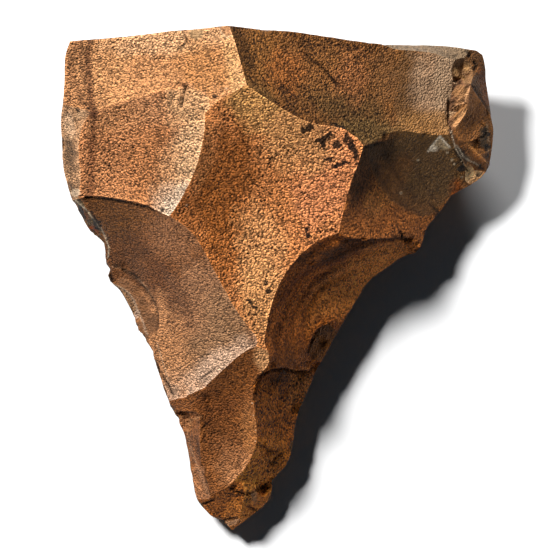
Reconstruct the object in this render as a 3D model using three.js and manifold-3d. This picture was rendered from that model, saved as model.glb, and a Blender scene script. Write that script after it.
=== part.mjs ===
// Stone borer: one heavy flaked stone with a broad butt and a blunt point, lying on its lower face.
//
// The upper face is a net of arrises, the ridges where two flake scars meet. Each arris is a smooth line
// through points surveyed on the stone, and each scar is a skin stretched between its arrises and dished
// below them. The lower face and the sides are struck off a block with round-faced cutters, as flakes are.
// +Z is up, +Y points to the butt and -Y to the point. All sizes are in millimetres.
import * as THREE from 'three';
import Module from 'manifold-3d';

// Overall sizes of the stone.
const stoneLength = 90.7;
const stoneWidth = 77.9;
const crownHeight = 31;

// The lip left whole under the rim of the upper face, above the scars of the sides and the lower face.
const lipHeight = 0.9;

// A blow hollows its scar most within this reach, and this many times as strongly as elsewhere.
const blowReach = 9;
const blowStrength = 3;

// How finely the surface is faceted, how uneven the facets are, and how far they keep from an arris.
const arrisSpacing = 1.5;
const skinSpacing = 1.62;
const skinUnevenness = 0.2;
const skinClearance = 1;

// The struck scars: how finely they are faceted, and how far a cutter reaches past its scar.
const cutterSpacing = 3.2;
const cutterSectors = 36;
const cutterMargin = 12;

// A cutter's face is never a fuller bowl than this share of its radius, and its shank is this many times its
// reach, which clears the block. Towards its edge the face is drawn back in lobes of up to this depth, so
// that no two scars end alike.
const fullestFace = 0.92;
const shankLength = 2;
const lobes = 3;
const lobeDepth = 1.1;

// How often the skin is settled, and how far past its neighbours' mean each point is moved, which only
// makes it settle sooner.
const settlings = 900;
const settlingStep = 1.7;

// How many stone lengths away the corners of the triangle lie that all the others are cut from.
const outerReach = 20;

// Points where three or more arrises meet, surveyed from the middle of the stone: [across, along, height].
const apex = [-8.7, 45.2, 27.5];
const crown = [-5.5, 34.5, 31];
const buttLeft = [-37.2, 42.5, 20];
const leftNotch = [-38.6, 31.2, 16.5];
const shoulder = [-33.4, 29.8, 19.8];
const scarHead = [-13, 29.4, 28];
const keel = [-19.3, 11.1, 25.5];
const leftPoint = [-35.9, 14.3, 13.5];
const leftCorner = [-37, 14.1, 11];
const flankLeft = [-31, 3.6, 9.2];
const crescentTop = [-30.2, 1.6, 9];
const crescentLip = [-29.5, -1.2, 8.2];
const crescentFoot = [-22.5, -13.1, 8.6];
const waist = [-19.6, -22.1, 8.8];
const hub = [-2.4, -11.8, 21.2];
const neck = [-2.8, -16.8, 19.3];
const eastHub = [10.9, 8, 24];
const rightHub = [15.4, 23.7, 26.5];
const chipStart = [11.4, 26.9, 26.6];
const chipEnd = [19.7, 25.9, 22.6];
const stripStart = [19.2, 41.9, 20.2];
const innerCorner = [30.9, 38.6, 19];
const shelfStart = [31.1, 32.8, 16.8];
const plateStart = [30.9, 30, 16.4];
const rightCorner = [30.9, 25.8, 17];
const endRidgeTop = [34.6, 41.1, 16.6];
const endNotch = [34.5, 39.9, 16.7];
const endRidge = [34.7, 34.9, 18.1];
const plateEnd = [34.3, 31.8, 17.6];
const endEdge = [38.4, 29, 12];
const endStep = [37.7, 27.4, 12.8];
const endBrow = [33.9, 24.4, 14.6];
const endTail = [38.2, 20.3, 10.2];
const flankRight = [33.8, 16.3, 10.5];
const spur = [26.2, 7.1, 11.2];
const nickTop = [12.3, -7.1, 9.4];
const nickFoot = [7.3, -16.1, 8.8];
const hollowRight = [6.8, -16.8, 8.6];
const hollowFork = [-3.6, -28.6, 15.2];
const hollowFoot = [1.2, -34.1, 6.6];
const tipRight = [-8.9, -37.5, 11.6];
const tipMid = [-5.8, -38.6, 10.4];
const tipSide = [-1, -36.5, 6.2];
const tipLeft = [-12, -39.3, 9.3];
const tipCorner = [-13.8, -40.9, 6.4];
const tipFork = [-6.7, -43.1, 7.6];
const tipNotch = [-9.9, -43.7, 5.6];
const point = [-8.2, -45.4, 4.6];
const retouchTop = [-18.6, -24.1, 8];
const retouchHead = [-13.9, -26.2, 11.6];
const retouchEdge = [-16.8, -27.9, 7];
const retouchLow = [-14, -33.2, 10];
const retouchSide = [-15.8, -33, 6.4];

// Arrises, each from one meeting point to another through the points between them.
const arrises = [
  // Round the rim of the upper face, clockwise from the top left corner.
  [buttLeft, [-31.9, 42.9, 21.3], [-25.6, 43.5, 22.9], [-19.3, 44.2, 24.6], [-13, 44.7, 26.3], apex],
  [apex, [-3.1, 44.5, 26], [4, 44, 24.3], [11.2, 42.9, 22.3], stripStart],
  [stripStart, [23, 41.9, 18], [29, 41.8, 16.8], endRidgeTop],
  [endRidgeTop, [36.5, 40.6, 15.4], [37.2, 39.1, 14.4], [37.5, 36, 13.4], [37.9, 33, 12.7], endEdge],
  [endEdge, [38.9, 26.7, 11.5], [38.8, 24.6, 11], [38.5, 22.4, 10.6], endTail],
  [endTail, [37.2, 18.8, 9.9], [35.9, 17.6, 10], flankRight],
  [flankRight, [31.4, 15, 10.3], [29.9, 12.9, 10.4], [28.2, 10.8, 10.6], [26.8, 9.2, 10.9], spur],
  [spur, [25.3, 4.9, 10.6], [23.2, 4.1, 10], [21.4, 3.1, 9.6], [19.3, 1.6, 9.4], [16.4, -0.5, 9.3],
    [15, -2.7, 9.3], [13.4, -5.2, 9.3], nickTop],
  [nickTop, [11.2, -8.9, 9.2], [9.9, -11.1, 9], [8.5, -14, 8.9], nickFoot],
  [nickFoot, hollowRight],
  [hollowRight, [5.6, -20.1, 8], [4.1, -23.1, 7.5], [3.2, -26.2, 7.2], [2.9, -29, 7], [2.2, -32.4, 6.8],
    hollowFoot],
  [hollowFoot, tipSide],
  [tipSide, [-1.2, -39.4, 5.8], [-3.1, -41.7, 5.4], [-6.2, -44, 4.8], point],
  [point, tipNotch],
  [tipNotch, [-11.8, -43, 5.8], tipCorner],
  [tipCorner, [-14.7, -39.5, 6.2], [-15.3, -36.5, 6.2], [-15.7, -34.5, 6.3], retouchSide],
  [retouchSide, [-16.3, -30.2, 6.6], retouchEdge],
  [retouchEdge, [-17.9, -25.6, 7.4], retouchTop],
  [retouchTop, [-19.4, -22.9, 8.2], waist],
  [waist, [-20.6, -19.6, 8.6], [-21.2, -17.5, 8.5], [-22.1, -15, 8.5], crescentFoot],
  [crescentFoot, [-24.2, -10.6, 8.2], [-25.4, -9.2, 8], [-25.9, -7, 7.9], [-27.4, -3.8, 7.9],
    [-28.5, -2, 8], crescentLip],
  [crescentLip, [-30.3, -0.4, 8.4], [-30.6, 0.5, 8.7], crescentTop],
  [crescentTop, [-30.9, 2.6, 8.8], flankLeft],
  [flankLeft, [-31.5, 6.8, 8.2], [-33.2, 7.8, 8.4], [-34.8, 10.2, 9.2], [-36.2, 12.8, 10.2], leftCorner],
  [leftCorner, [-37.9, 17, 11.4], [-38.6, 20, 12], [-38.8, 24.5, 13], [-39, 28.4, 14.6], leftNotch],
  [leftNotch, [-38.3, 35, 17.6], [-38.1, 39.8, 18.9], buttLeft],

  // The pale upper left scar and the crown.
  [apex, [-7.6, 42.2, 28.6], [-6.6, 38.6, 29.8], crown],
  [crown, [-8.2, 33, 30.3], [-10.5, 31.8, 29.4], scarHead],
  [scarHead, [-14.6, 30.4, 27.7], [-17, 31.3, 27], [-17.4, 33.6, 27], [-20.2, 33.7, 26.1],
    [-23.3, 32.9, 24.9], [-26.9, 31.9, 23.2], [-30.4, 30.9, 21.4], shoulder],
  [shoulder, [-35.9, 30.6, 18.2], leftNotch],

  // The hollow left scar and the strip of small facets outside it.
  [shoulder, [-35, 27.6, 17.6], [-35.7, 24.5, 16.6], [-35.7, 21.2, 15.8], [-35.4, 18, 14.8], leftPoint],
  [leftPoint, leftCorner],
  [leftPoint, [-34, 12, 12.2], [-32.4, 9.6, 11.2], [-31, 7, 10.2], flankLeft],
  [leftPoint, [-32.9, 14.9, 15.2], [-29.8, 14.5, 17.4], [-26.2, 13.9, 20], [-23.4, 13.1, 22.6],
    [-21.6, 12.1, 24.2], keel],
  [scarHead, [-13, 27, 28], [-13.4, 24.3, 27.8], [-14.1, 21.3, 27.4], [-15.3, 18, 26.9],
    [-17.2, 14.3, 26.2], keel],

  // The long middle facet, from the crown to the hub above the neck.
  [keel, [-17.4, 10, 25.4], [-15.5, 8.4, 25.1], [-13.5, 5.6, 24.7], [-11.7, 2.2, 24.3], [-10, -1, 23.8],
    [-8.2, -4.4, 23], [-6, -7.6, 22.2], [-4.2, -9.9, 21.6], hub],
  [crown, [-3.5, 33.1, 30.7], [-0.6, 31.2, 30.1], [2.4, 29.4, 29.4], [5.6, 27.9, 28.6], [8.7, 27.4, 27.6],
    chipStart],
  [chipStart, [13.7, 25.7, 26.7], rightHub],
  [rightHub, [14.5, 20.8, 26.3], [13.2, 17.2, 25.7], [12.1, 13.5, 25], eastHub],
  [eastHub, [8.6, 7.4, 24], [6.2, 6.1, 23.9], [4.1, 4.2, 23.8], [2, 1.8, 23.6], [0.3, -1, 23.3],
    [-1, -4.4, 22.8], [-1.8, -7.8, 22.2], hub],

  // The dark upper right scar, the grazing strip along the butt and the battered end.
  [stripStart, [20.6, 41.1, 20.4], [23, 40.9, 20.3], [25.7, 40.7, 20.1], [28.4, 40.3, 19.9],
    [30, 39.6, 19.5], innerCorner],
  [innerCorner, [31.3, 36.6, 18.2], [31.4, 34.6, 17.4], shelfStart],
  [shelfStart, [30.9, 31.4, 16.5], plateStart],
  [plateStart, [30.8, 27.8, 16.6], rightCorner],
  [chipStart, [13.4, 27.6, 25.6], [16.6, 27.4, 24], chipEnd],
  [rightHub, [17.7, 24.4, 24.6], chipEnd],
  [chipEnd, [21.5, 26.5, 21.2], [24, 26.3, 20], [27.1, 25.7, 18.6], rightCorner],
  [innerCorner, [32.3, 39.4, 18.4], [33.5, 39.6, 17.5], endNotch],
  [endRidgeTop, endNotch],
  [endNotch, [34.9, 38, 16.4], [35.1, 36.4, 17], endRidge],
  [shelfStart, [31.9, 34.2, 17.3], [33.1, 34.8, 17.9], endRidge],
  [endRidge, [35.4, 33.4, 16.9], [36.6, 32, 15.2], [37.6, 30.6, 13.6], endEdge],
  [endRidge, [34.4, 33.2, 18], plateEnd],
  [plateStart, [32, 31, 16.8], [33.2, 31.6, 17.3], plateEnd],
  [plateEnd, [34.2, 30.4, 17.5], [33.4, 29, 17.2], [32.3, 27.5, 16.9], rightCorner],
  [endEdge, endStep],
  [endStep, [37.7, 26.2, 12.5], [37, 25.6, 12.9], [36.3, 25.2, 13.3], [36.5, 23.9, 12.7], [35.9, 23.2, 12.9],
    [35, 23.5, 13.6], endBrow],
  [endBrow, [32.6, 24.9, 15.7], rightCorner],
  [endBrow, [35.4, 22.9, 13.7], [36.7, 21.6, 12.4], endTail],
  [rightCorner, [32.1, 23.1, 15], [33, 21.7, 13.9], [33.9, 20.2, 12.8], [33.7, 18.2, 11.6], flankRight],

  // The dark right scar, the rippled one below it and the nick in its edge.
  [eastHub, [13.2, 7.2, 22.8], [16.8, 6.9, 20.4], [20.4, 7.2, 17], [23.4, 7.3, 13.8], spur],
  [hub, [-1.4, -13.9, 20.6], [-1.7, -15.5, 20], neck],
  [neck, [-0.8, -16.1, 18.6], [1.5, -16.2, 16], [4, -16.4, 12.4], hollowRight],
  [nickTop, [10, -7.4, 11.4], [8.4, -8.6, 12.6], [7, -10.4, 12.8], [6.1, -12.6, 12.4], [6.2, -14.6, 11],
    nickFoot],

  // The lower left scar, its crescent of edge retouch and the scars of the point.
  [hub, [-4.6, -12.4, 20.9], [-6.4, -13.4, 20.2], [-8.6, -15.3, 18.6], [-11, -17.5, 16.4],
    [-13.2, -19.5, 14.2], [-15.6, -20.8, 12.2], [-17.6, -21.5, 10.5], waist],
  [crescentTop, [-27.4, 1.6, 11.2], [-24.8, 0.2, 12.2], [-22.8, -2.6, 12.6], [-21.5, -6, 12.2],
    [-21.3, -9.6, 10.9], crescentFoot],
  [crescentLip, [-28, -1.4, 9], [-26.8, -2.3, 9.3], [-25.7, -4, 9.3], [-25.1, -5.7, 9.2], [-24.4, -7.5, 9],
    [-23.5, -10, 8.8], crescentFoot],
  [neck, [-4.1, -19.3, 18.6], [-4.3, -22.4, 17.6], [-3.9, -25.6, 16.6], hollowFork],
  [hollowFork, [-4.3, -31, 14.8], [-5.8, -34, 13.6], tipRight],
  [hollowFork, [-1.5, -30, 12.4], [-0.2, -32.2, 9.2], hollowFoot],
  [retouchTop, [-16.4, -23.8, 10.4], [-14.3, -24.4, 11.6], retouchHead],
  [retouchHead, [-15.2, -27.5, 9.4], retouchEdge],
  [retouchHead, [-14, -29.6, 11], retouchLow],
  [retouchLow, retouchSide],
  [retouchLow, [-12.9, -36.2, 9.8], tipLeft],
  [tipLeft, tipCorner],
  [tipRight, [-10.5, -38.2, 10.6], tipLeft],
  [tipRight, tipMid],
  [tipMid, [-3.5, -38.6, 8.6], [-2.2, -37.2, 7.2], tipSide],
  [tipMid, [-6.4, -41, 9], tipFork],
  [tipFork, [-8.3, -43.1, 6.8], tipNotch],
  [tipFork, point],
];

// Folds inside a scar: the foot of each step where a flake broke off short.
const folds = [
  [[24.2, 5.6, 11.6], [21.6, 5.5, 13.6], [17.6, 5.3, 16.6], [13.4, 4.9, 19], [9.6, 4.1, 20.6],
    [6.6, 2.4, 21.4]],
  [[4.6, -17.7, 10.4], [1.6, -17.3, 14.1], [-1, -17.3, 16.6], [-2.9, -18.8, 16.8], [-3.3, -21, 16.4]],
  [[32, 35.4, 16.3], [33.2, 36, 16.4], [34.3, 36.1, 16]],
  [[32.3, 30, 16], [33.4, 30.6, 16.5]],
  [[-17.4, -25.1, 7.6], [-16, -24.9, 8.9], [-14.8, -25.5, 10]],
  [[-27.9, 0.4, 9.7], [-25.7, -0.9, 10.3], [-24.1, -3.3, 10.6], [-22.9, -6, 10.5], [-22.6, -8.8, 9.8]],
];

// Scars: a place inside each, how far its middle dishes below its arrises, and where the blow fell, if the
// hollow is deepest near there.
const scars = [
  { inside: [-22, 38], dish: 0.5 },
  { inside: [-25, 22], dish: 2, blow: [-33, 26] },
  { inside: [2, 15], dish: 2.8, blow: [-10, 21] },
  { inside: [12, 34], dish: 4.2, blow: [0, 38] },
  { inside: [25, 17], dish: 2.6, blow: [17, 22] },
  { inside: [10, -2], dish: 2.3, blow: [3, -2] },
  { inside: [-18, -6], dish: 5, blow: [-23, 9] },
  { inside: [-9, -26], dish: 1.8, blow: [-10, -20] },
  { inside: [1, -24], dish: 1.2 },
  { inside: [-24, -3], dish: 1 },
  { inside: [-26.6, -5], dish: 0.3 },
  { inside: [8.6, -11.5], dish: 0.8 },
  { inside: [35.8, 28], dish: 0.8 },
  { inside: [36.4, 36], dish: 0.5 },
  { inside: [33.2, 37.6], dish: 0.9 },
  { inside: [32.8, 33.2], dish: 0.3 },
  { inside: [32.2, 29.2], dish: 0.4 },
  { inside: [37.6, 23.4], dish: 0.5 },
  { inside: [35.2, 19.8], dish: 0.8 },
  { inside: [-37, 22], dish: 0.5 },
  { inside: [-33.6, 9.6], dish: 0.3 },
  { inside: [27, 41.2], dish: 0.2 },
  { inside: [-14.6, -36], dish: 0.5 },
  { inside: [-10, -41], dish: 0.4 },
  { inside: [-4, -41], dish: 0.5 },
  { inside: [-3, -34], dish: 0.5 },
];

// Flakes struck off the lower face and the sides: from a place on the rim to a place on the flat below it,
// with the depth of the hollow between them, and how broad the scar is beside a round one.
const blows = [
  { rim: [-37.2, 42.4, 20], foot: [-31.6, 36.4, 0], hollow: 1, breadth: 0.8 },
  { rim: [-31.5, 42.8, 21], foot: [-30.6, 38.6, 0], hollow: 1.2, breadth: 0.8 },
  { rim: [-20, 43.9, 24], foot: [-17, 39.6, 0], hollow: 2.3, breadth: 0.8 },
  { rim: [-6, 44.8, 26], foot: [-4, 40.8, 1], hollow: 1.9, breadth: 0.6 },
  { rim: [9, 43.2, 22.4], foot: [10, 38.4, 0], hollow: 2.3, breadth: 0.8 },
  { rim: [23, 41.8, 18], foot: [21.6, 36.2, 0], hollow: 0.9, breadth: 1.2 },
  { rim: [33, 41.3, 16.4], foot: [30.4, 35.4, 0], hollow: 1.5, breadth: 0.8 },
  { rim: [37.6, 34.4, 12.6], foot: [29.6, 33, 0], hollow: 1.3, breadth: 1 },
  { rim: [38, 20.4, 10], foot: [19, 19, 0], hollow: 2.2, breadth: 1.3 },
  { rim: [29.4, 12, 10.4], foot: [19, 9.4, 1], hollow: 1, breadth: 0.6 },
  { rim: [23, 4.2, 9.8], foot: [6, 6, 0], hollow: 2.2, breadth: 0.8 },
  { rim: [14, -4.6, 9.2], foot: [3, -4, 0.4], hollow: 1.2, breadth: 0.7 },
  { rim: [8, -15, 8.8], foot: [-4.6, -7.6, 0], hollow: 1.9, breadth: 1.3 },
  { rim: [4.2, -23, 7.4], foot: [-4, -21, 0.8], hollow: 0.8, breadth: 0.7 },
  { rim: [-0.4, -34, 6.2], foot: [-8, -25, 0], hollow: 1.4, breadth: 1.2 },
  { rim: [-9, -45, 4.4], foot: [-9.6, -33, 0], hollow: 0.9, breadth: 0.8 },
  { rim: [-15.6, -35, 6.2], foot: [-9, -25, 0], hollow: 1.1, breadth: 1 },
  { rim: [-18.6, -24, 7.8], foot: [-12, -20, 0.4], hollow: 0.9, breadth: 0.7 },
  { rim: [-22, -14.6, 8.4], foot: [-9.5, -12, 0], hollow: 1.7, breadth: 0.9 },
  { rim: [-26.6, -5.4, 8], foot: [-19, -2.6, 0.8], hollow: 0.9, breadth: 0.6 },
  { rim: [-32, 6.6, 8.6], foot: [-16, 5.4, 0], hollow: 2.1, breadth: 1.2 },
  { rim: [-37.4, 16, 11.2], foot: [-27, 19.6, 0], hollow: 1.5, breadth: 0.8 },
  { rim: [-38.8, 27, 14.2], foot: [-31.6, 27.6, 0.8], hollow: 1, breadth: 1.1 },
  { rim: [-38.3, 36, 17.8], foot: [-31.6, 35, 0], hollow: 1.6, breadth: 0.9 },
  { rim: [8, 40, 2.4], foot: [10, 20, 0], hollow: 1.1, breadth: 1.4 },
  { rim: [-24, 38, 2.2], foot: [-15, 22, 0], hollow: 1, breadth: 0.8 },
];

// The survey is stretched to the overall sizes, from the surveyed extents of the rim and the crown.
const surveyed = [-1, 1].map((side) => [0, 1].map((axis) => (
  side * Math.max(...arrises.flat().map((place) => side * place[axis])))));
const surveyedWidth = surveyed[1][0] - surveyed[0][0];
const surveyedLength = surveyed[1][1] - surveyed[0][1];
const middle = [0, 1].map((axis) => (surveyed[0][axis] + surveyed[1][axis]) / 2);
const stretch = new THREE.Vector3(
  stoneWidth / surveyedWidth, stoneLength / surveyedLength, crownHeight / crown[2]);

function place([across, along, height = 0]) {
  return new THREE.Vector3(across - middle[0], along - middle[1], height).multiply(stretch);
}

// A repeatable irregularity between -1 and 1.
function unevenness(seed) {
  const wave = Math.sin(seed * 12.9898) * 43758.5453;
  return 2 * (wave - Math.floor(wave)) - 1;
}

// All surface points. Fixed ones lie on arrises or folds, and free ones are set by the skin.
const points = [];
const fixed = [];
const pointAt = new Map();

function addPoint(position, isFixed) {
  const key = position.toArray().map((value) => value.toFixed(4)).join();
  if (!pointAt.has(key)) {
    pointAt.set(key, points.length);
    points.push(position.clone());
    fixed.push(isFixed);
  }
  return pointAt.get(key);
}

function addLine(places) {
  const curve = new THREE.CatmullRomCurve3(places.map(place), false, 'centripetal');
  const steps = Math.ceil(curve.getLength() / arrisSpacing);
  return curve.getSpacedPoints(steps).map((position, index) => {
    const end = index === 0 ? places[0] : index === steps ? places[places.length - 1] : null;
    return addPoint(end ? place(end) : position, true);
  });
}

const lines = arrises.map(addLine);
folds.forEach(addLine);
const rimCount = arrises.indexOf(arrises.find((line) => line[0] === leftNotch)) + 1;
const rim = lines.slice(0, rimCount).flatMap((line) => line.slice(0, -1));
const rimShape = rim.map((index) => new THREE.Vector2(points[index].x, points[index].y));

function insideRim(x, y) {
  let inside = false;
  rimShape.forEach((a, index) => {
    const b = rimShape[(index + 1) % rimShape.length];
    if ((a.y > y) !== (b.y > y) && x < a.x + (y - a.y) * (b.x - a.x) / (b.y - a.y)) inside = !inside;
  });
  return inside;
}

// Free points on a slightly uneven hexagonal grid, kept clear of the arrises.
function addFreePoints() {
  const fixedPoints = points.slice();
  const rowStep = skinSpacing * Math.sqrt(3) / 2;
  const rows = Math.ceil(stoneLength / 2 / rowStep);
  const columns = Math.ceil(stoneWidth / 2 / skinSpacing);
  for (let row = -rows; row <= rows; row += 1) {
    for (let column = -columns; column <= columns; column += 1) {
      const seed = row * 131 + column * 17;
      const x = (column + (row & 1) / 2) * skinSpacing + skinUnevenness * unevenness(seed);
      const y = row * rowStep + skinUnevenness * unevenness(seed + 7);
      const clear = fixedPoints.every((p) => Math.hypot(p.x - x, p.y - y) > skinClearance);
      if (clear && insideRim(x, y)) addPoint(new THREE.Vector3(x, y, 0), false);
    }
  }
}

// Delaunay triangles of the points in plan, by inserting them one at a time into one wide outer triangle.
function triangulate() {
  const far = outerReach * stoneLength;
  const count = points.length;
  const outer = [[-far, -far], [far, -far], [0, far]].map(([x, y]) => new THREE.Vector3(x, y, 0));
  const all = [...points, ...outer];
  const circled = (a, b, c) => {
    const [p, q, r] = [all[a], all[b], all[c]];
    const d = 2 * ((q.x - p.x) * (r.y - p.y) - (q.y - p.y) * (r.x - p.x));
    const qq = (q.x - p.x) ** 2 + (q.y - p.y) ** 2;
    const rr = (r.x - p.x) ** 2 + (r.y - p.y) ** 2;
    const x = ((r.y - p.y) * qq - (q.y - p.y) * rr) / d;
    const y = ((q.x - p.x) * rr - (r.x - p.x) * qq) / d;
    return { corners: [a, b, c], x: p.x + x, y: p.y + y, reach: x * x + y * y };
  };
  let triangles = [circled(count, count + 1, count + 2)];
  for (let index = 0; index < count; index += 1) {
    const { x, y } = all[index];
    const edges = new Map();
    triangles = triangles.filter((triangle) => {
      if ((triangle.x - x) ** 2 + (triangle.y - y) ** 2 > triangle.reach) return true;
      const [a, b, c] = triangle.corners;
      [[a, b], [b, c], [c, a]].forEach(([from, to]) => {
        if (!edges.delete(`${to},${from}`)) edges.set(`${from},${to}`, [from, to]);
      });
      return false;
    });
    edges.forEach(([from, to]) => triangles.push(circled(from, to, index)));
  }
  return triangles.map((triangle) => triangle.corners).filter((corners) => {
    if (corners.some((corner) => corner >= count)) return false;
    const x = corners.reduce((sum, corner) => sum + points[corner].x, 0) / 3;
    const y = corners.reduce((sum, corner) => sum + points[corner].y, 0) / 3;
    return insideRim(x, y);
  });
}

addFreePoints();
const skin = triangulate();

// How strongly each point is tied to its neighbours, so that a skin with no load lies flat, and the share
// of the surface that each point carries.
const ties = points.map(() => new Map());
const shares = points.map(() => 0);
skin.forEach((corners) => {
  corners.forEach((corner, index) => {
    const next = corners[(index + 1) % 3];
    const third = corners[(index + 2) % 3];
    const a = points[corner].clone().sub(points[third]).setZ(0);
    const b = points[next].clone().sub(points[third]).setZ(0);
    const twiceArea = Math.abs(a.x * b.y - a.y * b.x);
    const tie = Math.max(a.dot(b) / twiceArea, 0) / 2;
    ties[corner].set(next, (ties[corner].get(next) ?? 0) + tie);
    ties[next].set(corner, (ties[next].get(corner) ?? 0) + tie);
    shares[corner] += twiceArea / 6;
  });
});

// Stretches a skin over the free points, each under its own load.
function settle(heights, loads) {
  for (let pass = 0; pass < settlings; pass += 1) {
    ties.forEach((tied, index) => {
      if (fixed[index]) return;
      let pull = loads[index] * shares[index];
      let hold = 0;
      tied.forEach((tie, other) => {
        pull += tie * heights[other];
        hold += tie;
      });
      heights[index] += settlingStep * (pull / hold - heights[index]);
    });
  }
  return heights;
}

// The free points of the scar around one place.
function scarPoints(inside) {
  const target = place(inside);
  const distance = (index) => Math.hypot(points[index].x - target.x, points[index].y - target.y);
  const free = points.map((p, index) => index).filter((index) => !fixed[index]);
  const nearest = free.reduce((best, index) => (distance(index) < distance(best) ? index : best));
  const members = new Set([nearest]);
  members.forEach((index) => ties[index].forEach((tie, other) => {
    if (!fixed[other]) members.add(other);
  }));
  return [...members];
}

const unsettled = points.map((p, index) => (fixed[index] ? p.z : crownHeight / 2));
const stretched = settle(unsettled, points.map(() => 0));
const loads = points.map(() => 0);
const scarMembers = scars.map(({ inside, blow }) => {
  const members = scarPoints(inside);
  members.forEach((index) => {
    loads[index] = 1;
    if (blow) {
      const away = Math.hypot(points[index].x - place(blow).x, points[index].y - place(blow).y) / blowReach;
      loads[index] += blowStrength * Math.exp(-away * away);
    }
  });
  return members;
});
const dished = settle(points.map(() => 0), loads);
points.forEach((p, index) => {
  if (!fixed[index]) p.z = stretched[index];
});
scarMembers.forEach((members, index) => {
  const deepest = Math.max(...members.map((member) => dished[member]));
  members.forEach((member) => {
    points[member].z = stretched[member] - scars[index].dish * dished[member] / deepest;
  });
});

const wasm = await Module();
wasm.setup();

function solid(positions, triangles) {
  return new wasm.Manifold(new wasm.Mesh({
    numProp: 3,
    vertProperties: Float32Array.from(positions.flatMap((p) => [p.x, p.y, p.z])),
    triVerts: Uint32Array.from(triangles.flat()),
  }));
}

// The block: the skin on top, straight sides below the rim, and a flat underneath.
function block() {
  const positions = points.map((p) => p.clone());
  const under = rim.map((index) => positions.push(points[index].clone().setZ(0)) - 1);
  const triangles = skin.slice();
  rim.forEach((top, index) => {
    const next = (index + 1) % rim.length;
    triangles.push([top, rim[next], under[index]], [rim[next], under[next], under[index]]);
  });
  THREE.ShapeUtils.triangulateShape(rimShape, []).forEach(([a, b, c]) => {
    const area = (rimShape[b].x - rimShape[a].x) * (rimShape[c].y - rimShape[a].y)
      - (rimShape[b].y - rimShape[a].y) * (rimShape[c].x - rimShape[a].x);
    triangles.push(area > 0 ? [under[a], under[c], under[b]] : [under[a], under[b], under[c]]);
  });
  return solid(positions, triangles);
}

// A cutter for one blow: a round-faced plug whose face passes through the rim and the foot of the scar.
function cutter({ rim: from, foot, hollow, breadth }, number) {
  const top = place(from).add(new THREE.Vector3(0, 0, -lipHeight));
  const bottom = place(foot);
  const chord = top.clone().sub(bottom);
  const radius = chord.lengthSq() / (8 * hollow) + hollow / 2;
  const level = new THREE.Vector3(-chord.y, chord.x, 0).normalize();
  const outward = level.clone().cross(chord).normalize();
  if (outward.z > 0) outward.negate();
  const centre = top.clone().add(bottom).multiplyScalar(0.5).addScaledVector(outward, radius - hollow);
  const along = chord.clone().normalize();
  const reach = Math.min(fullestFace * radius, chord.length() / 2 + cutterMargin);
  const drawBack = Math.max(0, ...rim.map((index) => {
    const lip = points[index].clone().sub(centre).add(new THREE.Vector3(0, 0, -lipHeight));
    const aside = Math.hypot(lip.dot(along), lip.dot(level) / breadth);
    return aside < reach ? lip.dot(outward) + Math.sqrt(radius * radius - aside * aside) : 0;
  }));
  centre.addScaledVector(outward, drawBack);
  const rings = Math.ceil(reach / cutterSpacing);
  const positions = [centre.clone().addScaledVector(outward, -radius)];
  for (let ring = 1; ring <= rings + 1; ring += 1) {
    const share = Math.min(ring, rings) / rings;
    const spread = reach * share;
    for (let sector = 0; sector < cutterSectors; sector += 1) {
      const turn = 2 * Math.PI * sector / cutterSectors;
      const lobe = lobeDepth * share * share * (1 + Math.sin(lobes * turn + number)) / 2;
      const depth = ring > rings ? -shankLength * reach : Math.sqrt(radius * radius - spread * spread) - lobe;
      positions.push(centre.clone()
        .addScaledVector(outward, -depth)
        .addScaledVector(along, spread * Math.cos(turn))
        .addScaledVector(level, breadth * spread * Math.sin(turn)));
    }
  }
  const last = positions.push(centre.clone().addScaledVector(outward, shankLength * reach)) - 1;
  const at = (ring, sector) => 1 + (ring - 1) * cutterSectors + sector % cutterSectors;
  const triangles = [];
  for (let sector = 0; sector < cutterSectors; sector += 1) {
    triangles.push([0, at(1, sector), at(1, sector + 1)]);
    for (let ring = 1; ring <= rings; ring += 1) {
      triangles.push([at(ring, sector), at(ring + 1, sector), at(ring + 1, sector + 1)]);
      triangles.push([at(ring, sector), at(ring + 1, sector + 1), at(ring, sector + 1)]);
    }
    triangles.push([last, at(rings + 1, sector + 1), at(rings + 1, sector)]);
  }
  const plug = solid(positions, triangles);
  return plug.volume() > 0 ? plug : solid(positions, triangles.map(([a, b, c]) => [a, c, b]));
}

const stone = blows.reduce((body, blow, number) => body.subtract(cutter(blow, number)), block());
const { vertProperties, triVerts } = stone.getMesh();
const geometry = new THREE.BufferGeometry();
geometry.setAttribute('position', new THREE.BufferAttribute(vertProperties, 3));
geometry.setIndex(new THREE.BufferAttribute(triVerts, 1));
geometry.computeVertexNormals();

const flakedStone = new THREE.Mesh(geometry, new THREE.MeshStandardMaterial({
  color: 0x9a6840,
  roughness: 0.8,
  metalness: 0,
}));
flakedStone.name = 'flaked_stone';

const group = new THREE.Group();
group.add(flakedStone);

export default group;
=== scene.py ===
"""The looks of the stone borer: one flaked stone of speckled quartzite, lying on a pale floor."""
import heapq
import math
import random

import bmesh
import bpy
import numpy as np
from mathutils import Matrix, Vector, kdtree, noise


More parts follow.
